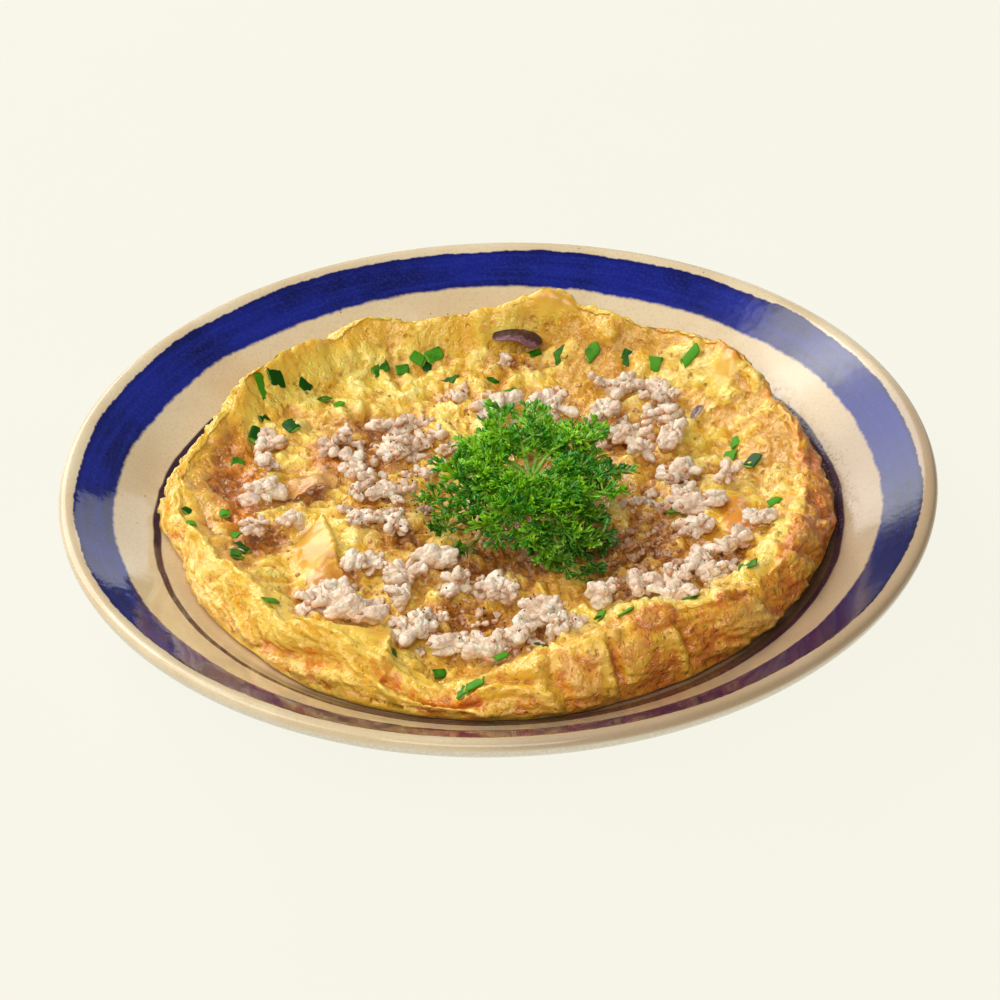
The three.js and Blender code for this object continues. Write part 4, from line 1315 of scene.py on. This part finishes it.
def strip(name, tree, shape, ragged):
    """A strip whose half width follows sqrt(1 - |2t - 1|^3) along it, frayed and waved by hills."""
    path, half_across, half_up = shape
    start, middle, end = np.array(path, float)
    t = np.linspace(0, 1, STRIP_STEPS)[:, None]
    bend = 2 * middle - (start + end) / 2
    line = (1 - t) ** 2 * start + 2 * t * (1 - t) * bend + t**2 * end
    ground = landed(tree, line[:, 0], line[:, 1], line[:, 2]) + half_up
    line[:, 2] += max(0, (ground - line[:, 2]).mean())
    way = unit(np.gradient(line, axis=0))
    across = unit(np.cross(np.array([0, 0, 1.0]), way))
    up = np.cross(way, across)
    turn = np.arange(STRIP_ROUND) * 360 / STRIP_ROUND
    shrink = (1.002 - abs(2 * t - 1) ** 3) ** 0.5
    fray = 1 + ragged * layered(stacked(12 * t, 2 * cos(turn), 2 * sin(turn)), 2, 2, seed=7)
    aside = half_across * shrink * fray * cos(turn)
    above = half_up * shrink * sin(turn)
    wave = 0.9 * ragged * half_across * hills(stacked(14 * t, aside, 0), 4, 9)
    rings = line[:, None] + across[:, None] * aside[..., None] + up[:, None] * (above + wave)[..., None]
    points, quads = strung(rings[None])
    mesh = make_mesh(name, points, quads)
    give_values(mesh, across=np.broadcast_to(cos(turn), aside.shape))
    return mesh


def shallot_material(name, skin, flesh):
    """Flesh of one colour with an edge of the other, and streaks along both."""
    shallot = Finish(name, IOR=1.4, Coat_Weight=0.2, Coat_Roughness=0.2)
    streaks = shallot.noise(1.4, 3)
    edge = shallot.sum(shallot.value_of("across"), shallot.span(streaks, 0.3, 0.7, -0.3, 0.3))
    tone = shallot.mix(shallot.span(edge, -0.2, -0.9), colour(*skin), colour(*flesh))
    tone = shallot.mix(shallot.span(streaks, 0.5, 0.7, 0, 0.25), tone, colour(*flesh))
    relief = shallot.bump(streaks, 0.6)
    dull = shallot.span(streaks, 0.3, 0.7, 0.35, 0.5)
    return shallot.set(Base_Color=tone, Roughness=dull, Normal=relief)


def flake_material():
    """Tan and glossy, with small pale bubbles."""
    flake = Finish(
        "fried_flake", IOR=1.42, Subsurface_Radius=(1, 0.6, 0.3), Subsurface_Scale=0.0008,
        Subsurface_Weight=0.3, Coat_Weight=0.5, Coat_Roughness=0.12,
    )
    clouds = flake.noise(4, 3)
    froth = flake.cells(0.9)
    tan = flake.mix(flake.span(clouds, 0.35, 0.65), colour(198, 134, 58), colour(234, 182, 104))
    tan = flake.mix(flake.span(froth, 0.28, 0.1, 0, 0.6), tan, colour(246, 214, 160))
    relief = flake.bump(clouds, 0.5, flake.bump(flake.span(froth, 0, 0.6, 1, 0), 0.25))
    return flake.set(Base_Color=tan, Roughness=flake.span(clouds, 0.3, 0.7, 0.3, 0.45), Normal=relief)


def make_shallots_and_flake(tree):
    """Each is a bent strip that lies on the egg."""
    purple = shallot_material("shallot_skin", (62, 28, 34), (136, 92, 104))
    grey = shallot_material("shallot_layers", (112, 84, 92), (206, 190, 178))
    for name, shape, ragged, finish, slot, node in (
        ("purple_slice", SHALLOT_SLICE, 0.1, purple, "shallot", "shallot_slice"),
        ("grey_piece", SHALLOT_PIECE, 0.15, grey, "shallot", "shallot_piece"),
        ("tan_flake", FRIED_FLAKE, 0.4, flake_material(), "fried_shallot", "fried_flake"),
    ):
        make_piece(name, strip(name, tree, shape, ragged), finish, slot, [node])


# ---- Parsley ----

HUB = (10, 0, 33)
HUB_RADIUS = 3
# Each branch of the sprig: heading, reach and height of its tip.
BRANCHES = [
    (-146, 28, 29), (176, 20, 32), (142, 19, 35), (108, 19, 36), (74, 17, 36), (40, 18, 35),
    (6, 19, 33), (-30, 20, 31), (-72, 38, 27), (-110, 25, 29),
]
BRANCH_STAGGER = 2.5
ARCH_HEIGHT = 3
ARCH_PLACE = 0.45
# Smaller branches that fill the gaps below: heading, reach and height of the tip.
LOW_BRANCHES = [
    (-128, 27, 27), (-165, 25, 27), (-54, 26, 27), (-90, 28, 27), (-64, 35, 26), (-78, 35, 26),
]
TWIGS = 8
FANS = 3
LOBES = 5
# A lobe and each of the two teeth beside its tip: how far along, and how wide there.
LOBE = [(0, 0.35), (0.3, 0.5), (0.6, 0.85), (0.85, 1), (1, 0.55)]
TOOTH = [(0, 0.9), (0.55, 1), (1, 0.3)]
TOOTH_PLACE = 0.6
LEAF_THICKNESS = 0.24


def branch_points(branch, t):
    """A quadratic curve from the hub over an arch to the tip: t runs from 0 to 1."""
    heading, reach, tip_z = np.array(BRANCHES + LOW_BRANCHES, float)[branch].T
    out = stacked(cos(heading), sin(heading), 0)
    height = tip_z + np.where(branch % 2, BRANCH_STAGGER, -BRANCH_STAGGER)
    start = np.array(HUB) + out * 0.8 * HUB_RADIUS
    tip = np.array(HUB) + out * reach[:, None]
    tip[:, 2] = height
    bend = np.array(HUB) + out * (reach * ARCH_PLACE)[:, None]
    bend[:, 2] = np.maximum(HUB[2], height) + ARCH_HEIGHT
    t = t[:, None]
    return (1 - t) ** 2 * start + 2 * t * (1 - t) * bend + t**2 * tip, heading


def blades(root, way, up, length, width, bend, outline):
    """Narrow lobes with a groove: a bent midline with an arrow-shaped section carried along it."""
    side = unit(np.cross(up, way))
    up = np.cross(way, side)
    t, share = np.array(outline).T[:, None, :, None]
    w = share * width[:, None, None] / 2
    root, way, side, up = (v[:, None] for v in (root, way, side, up))
    length, bend = length[:, None, None], bend[:, None, None]
    middle = root + way * length * t + up * bend * length * t**2
    edge = up * 0.45 * w
    thick = up * LEAF_THICKNESS / 2
    section = [middle + side * w + edge, middle + thick, middle - side * w + edge, middle - thick]
    return np.stack(section, axis=2)


def parsley_twigs(rng):
    """Twigs along each branch, to its left and right by turns and the last one straight on."""
    branches = len(BRANCHES + LOW_BRANCHES)
    count = branches * TWIGS
    branch = np.repeat(np.arange(branches), TWIGS)
    step = np.tile(np.arange(TWIGS), branches)
    t = 0.25 + 0.75 * step / (TWIGS - 1)
    root, heading = branch_points(branch, t)
    side = np.where(step % 2, 1, -1)
    aside = np.where(step == TWIGS - 1, 0, side * rng.uniform(35, 75, count))
    pitch = rng.uniform(-10, 50, count) * (1 - 0.75 * t)
    length = rng.uniform(4, 7.5, count) * (1.15 - 0.35 * abs(t - 0.6))
    return root, heading + aside, pitch, length


def pointing(turn, pitch):
    """The direction at a heading and an elevation."""
    return stacked(cos(turn) * cos(pitch), sin(turn) * cos(pitch), sin(pitch))


def parsley_fans(rng, root, turn, pitch, length):
    """Three fans on each twig, rolled at random: their roots, directions, upward sides, sizes."""
    count = len(root)
    out = (length[:, None] * np.array([1, 0.6, 0.6]))[..., None]
    fan_root = root[:, None] + pointing(turn, pitch)[:, None] * out
    fan_turn = turn[:, None] + np.array([0, 52, -52]) + rng.uniform(-14, 14, (count, FANS))
    fan_pitch = pitch[:, None] + rng.uniform(-20, 26, (count, FANS))
    way = pointing(fan_turn, fan_pitch)
    roll = rng.uniform(-42, 42, (count, FANS))[..., None]
    flat = stacked(-sin(fan_turn), cos(fan_turn), 0)
    up = np.cross(way, flat) * cos(roll) + flat * sin(roll)
    size = rng.uniform(4.2, 6.6, (count, FANS)) * np.array([1.1, 0.95, 0.95])
    return *(v.reshape(-1, 1, 3) for v in (fan_root, way, up)), size.ravel()


def parsley_lobes(rng, fan_root, fan_way, fan_up, fan_size):
    """Lobes spread over each fan and curled up towards its sides: as the fans, lobe by lobe."""
    fans = len(fan_root)
    spread = np.linspace(-1, 1, LOBES)
    turn = (spread * 66 + rng.uniform(-8, 8, (fans, LOBES)))[..., None]
    way = fan_way * cos(turn) + np.cross(fan_up, fan_way) * sin(turn)
    curl = (14 * abs(spread) + rng.uniform(-14, 18, (fans, LOBES)))[..., None]
    way = (way * cos(curl) + fan_up * sin(curl)).reshape(-1, 3)
    up = unit(fan_up + 0.35 * rng.normal(0, 1, (fans, LOBES, 3))).reshape(-1, 3)
    root = np.repeat(fan_root[:, 0], LOBES, axis=0)
    length = fan_size[:, None] * (1 - 0.22 * abs(spread)) * rng.uniform(0.8, 1.1, (fans, LOBES))
    return root, way, up, length.ravel()


def toothed(rng, root, way, up, length):
    """Each lobe, and beside its tip the two teeth: three arrays of sections."""
    width = length * rng.uniform(0.25, 0.35, len(length))
    bend = rng.uniform(-0.3, 0.35, len(length))
    forms = [blades(root, way, up, length, width, bend, LOBE)]
    side = unit(np.cross(up, way))
    up = np.cross(way, side)
    raised = up * (bend * TOOTH_PLACE**2)[:, None]
    tooth_root = root + (way * TOOTH_PLACE + raised) * length[:, None]
    for hand in (1, -1):
        open_to = hand * rng.uniform(30, 52, len(length))[:, None]
        rise = bend + rng.uniform(-0.2, 0.35, len(length))
        tooth_way = unit(way * cos(open_to) + side * sin(open_to) + up * rise[:, None])
        tooth = length * rng.uniform(0.34, 0.48, len(length))
        forms.append(blades(tooth_root, tooth_way, up, tooth, 0.42 * tooth, bend, TOOTH))
    return forms


def make_parsley():
    """Stems along the branches, twigs aside of them, fans of toothed lobes on the twigs."""
    rng = np.random.default_rng(47)
    root, turn, pitch, twig_length = parsley_twigs(rng)
    fans = parsley_fans(rng, root, turn, pitch, twig_length)
    forms = toothed(rng, *parsley_lobes(rng, *fans))
    low, high = (np.array(v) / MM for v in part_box("parsley"))
    points, quads = joined([strung(form) for form in forms])
    points[:, 2] = np.clip(points[:, 2], low[2] + 0.2, high[2] - 0.05)
    mesh = make_mesh("parsley_leaves", points, quads)
    starts = [np.array(LOBE)[:, 0], *[TOOTH_PLACE + 0.4 * np.array(TOOTH)[:, 0]] * 2]
    along = [np.broadcast_to(t[:, None], form.shape[:3]).ravel() for t, form in zip(starts, forms)]
    tone = np.repeat(rng.uniform(0, 1, len(fans[0])), LOBES)
    tones = [tone.repeat(form.shape[1] * 4) for form in forms]
    give_values(
        mesh,
        along=np.concatenate(along),
        tone=np.concatenate(tones),
        rib=np.tile([0, 1, 0, 1], len(points) // 4),
        height=(points[:, 2] - low[2]) / (high[2] - low[2]),
    )
    make_piece("parsley_leaves", mesh, parsley_material(), "parsley", ["parsley"])
    make_stems(root, pointing(turn, pitch), twig_length)


def round_tubes(paths, radii, corners=6):
    """Round tubes along many paths: paths[tube, step], and a radius for each step."""
    way = unit(np.gradient(paths, axis=1))
    side = unit(np.cross(way, np.array([0.13, 0.21, 1.0])))
    up = np.cross(side, way)
    a = np.arange(corners) * 360 / corners
    ring = side[:, :, None] * cos(a)[:, None] - up[:, :, None] * sin(a)[:, None]
    return paths[:, :, None] + ring * radii[..., None, None]


def make_stems(root, way, twig_length):
    """Tubes along the branches and the twigs, and the cut end of the sprig."""
    steps = np.linspace(0, 1, 9)
    branches = len(BRANCHES + LOW_BRANCHES)
    order = np.repeat(np.arange(branches), len(steps))
    line, _ = branch_points(order, np.tile(steps, branches))
    line = line.reshape(branches, len(steps), 3)
    line[:, 0] = np.array(HUB) - np.array([0, 0, 2])
    thick = np.broadcast_to(np.linspace(0.75, 0.35, len(steps)), line.shape[:2])
    t = np.linspace(0, 1, 4)[:, None]
    twigs = root[:, None] + way[:, None] * twig_length[:, None, None] * t
    twig_thick = np.broadcast_to(np.linspace(0.36, 0.22, 4), twigs.shape[:2])
    parts = [strung(round_tubes(line, thick)), strung(round_tubes(twigs, twig_thick))]
    foot = stacked([HUB[0], HUB[0] - 3, HUB[0] - 10], [0, -1, -4], [HUB[2] + 0.5, 30, 25.5])[None]
    parts.append(strung(round_tubes(foot, np.array([[1.5, 1.4, 1.2]]))))
    mesh = make_mesh("parsley_stems", *joined(parts))
    make_piece("parsley_stems", mesh, stem_material(), "parsley")


def parsley_material():
    """Bright green, with painted shade low in the sprig, and paler at each lobe's root and rib."""
    leaf = Finish(
        "parsley_leaf", IOR=1.4, Subsurface_Radius=(0.3, 1, 0.12), Subsurface_Scale=0.0006,
        Subsurface_Weight=0.25, Coat_Weight=0.4, Coat_Roughness=0.18,
    )
    tone = leaf.sum(leaf.value_of("tone"), leaf.span(leaf.noise(8, 2), 0.3, 0.7, -0.3, 0.3))
    green = leaf.mix(leaf.span(tone, 0.1, 0.9), colour(44, 136, 3), colour(140, 206, 14))
    # Painted shade: darker green low in the sprig, under the upper leaves.
    high = leaf.span(leaf.value_of("height"), 0.1, 0.75)
    green = leaf.mix(leaf.sum(0.8, leaf.times(high, -0.8)), green, colour(18, 70, 3))
    green = leaf.mix(leaf.span(leaf.value_of("along"), 0.5, 0, 0, 0.6), green, colour(160, 206, 60))
    green = leaf.mix(leaf.span(leaf.value_of("rib"), 0.6, 1, 0, 0.3), green, colour(150, 204, 50))
    relief = leaf.bump(leaf.noise(0.8, 3), 0.15)
    return leaf.set(Base_Color=green, Roughness=0.36, Normal=relief)


def stem_material():
    stem = Finish(
        "parsley_stem", Roughness=0.38, IOR=1.4, Subsurface_Radius=(0.4, 1, 0.2),
        Subsurface_Scale=0.001, Subsurface_Weight=0.25,
    )
    streaks = stem.noise(1.2, 3)
    green = stem.mix(stem.span(streaks, 0.3, 0.7), colour(112, 168, 40), colour(160, 198, 84))
    return stem.set(Base_Color=green, Normal=stem.bump(streaks, 0.1))


# ---- The run of the script ----

make_plate()
fried_egg = make_omelette()
pork_finish = pork_material()
clumps = make_pork(pork_finish)
below = landing_tree([fried_egg.data, *(piece.data for piece in clumps)])
make_crumbs(below, pork_finish)
make_pepper(below)
make_onion(below)
make_shallots_and_flake(below)
make_parsley()


# ---- The floor, the light and the camera ----

RIM_HEIGHT = 36
CAMERA_ELEVATION = 34.8
CAMERA_DISTANCE = 1100
CAMERA_AIM = (0.5, -5.6, 28)
CAMERA_ROLL = 1.7
LENS = 133.5
FLOOR_REACH = 4000
FLOOR_DROP = 0.05
FLOOR_GLOW = 0.93
# Soft boxes: name, heading, elevation, distance, size, power, tint.
LIGHTS = [
    ("window_glow", 131, 31, 1.52, (1.25, 1.0), 14, (0.98, 0.99, 1)),
    ("window_top", 135, 50, 1.5, (0.5, 0.4), 4, (1, 0.98, 0.95)),
    ("side_box", -168, 52, 1.4, (0.8, 0.7), 6.5, (1, 0.99, 0.97)),
    ("front_box", -98, 48, 1.5, (1.0, 0.8), 10.5, (1, 0.98, 0.94)),
    ("card", 67, 15, 1.2, (0.5, 0.35), 0.8, (0.95, 0.97, 1)),
]


def make_camera():
    """In front of the plate and above it, turned a little about its own line of sight."""
    data = bpy.data.cameras.new("photo_camera")
    data.lens = LENS
    data.sensor_width = 36
    data.clip_start = 0.05
    data.clip_end = 20
    camera = bpy.data.objects.new("photo_camera", data)
    bpy.context.scene.collection.objects.link(camera)
    out = Vector((0, -cos(CAMERA_ELEVATION), sin(CAMERA_ELEVATION)))
    at = (out * CAMERA_DISTANCE + Vector((0, 0, RIM_HEIGHT))) * MM
    back = (at - Vector(CAMERA_AIM) * MM).normalized()
    right = Vector((0, 0, 1)).cross(back).normalized()
    up = back.cross(right)
    c, s = cos(CAMERA_ROLL), sin(CAMERA_ROLL)
    right, up = right * c - up * s, right * s + up * c
    turn = Matrix((right, up, back)).transposed()
    camera.matrix_world = Matrix.Translation(at) @ turn.to_4x4()
    bpy.context.scene.camera = camera


def make_light(name, heading, elevation, distance, size, power, tint):
    """A soft box at a heading and elevation, in metres, facing the plate."""
    data = bpy.data.lights.new(name, "AREA")
    data.shape = "RECTANGLE"
    data.size, data.size_y = size
    data.energy = power
    data.color = tint
    light = bpy.data.objects.new(name, data)
    bpy.context.scene.collection.objects.link(light)
    out = Vector((cos(elevation) * cos(heading), cos(elevation) * sin(heading), sin(elevation)))
    light.location = out * distance
    light.rotation_euler = out.to_track_quat("Z", "Y").to_euler()


def make_floor():
    """A pale sheet under the plate, bright enough in itself to look nearly white."""
    corners = np.array([(-1, -1), (1, -1), (1, 1), (-1, 1)]) * FLOOR_REACH
    mesh = make_mesh("floor", stacked(*corners.T, -FLOOR_DROP), [(0, 1, 2, 3)], even=False)
    paper = Finish("pale_paper", Roughness=0.9, Specular_IOR_Level=0.1)
    paper.shader.inputs["Emission Color"].default_value = colour(250, 248, 235)
    paper.shader.inputs["Emission Strength"].default_value = FLOOR_GLOW
    tone = paper.mix(paper.span(paper.noise(60, 2), 0.3, 0.7), colour(52, 52, 48), colour(54, 54, 50))
    mesh.materials.append(paper.set(Base_Color=tone))
    floor = bpy.data.objects.new("floor", mesh)
    bpy.context.scene.collection.objects.link(floor)


def make_world():
    world = bpy.data.worlds.new("studio")
    world.use_nodes = True
    sky = world.node_tree.nodes["Background"]
    sky.inputs["Color"].default_value = (1, 0.97, 0.92, 1)
    sky.inputs["Strength"].default_value = 0.17
    bpy.context.scene.world = world


make_camera()
make_floor()
make_world()
for light in LIGHTS:
    make_light(*light)
bpy.context.scene.view_settings.view_transform = "Standard"
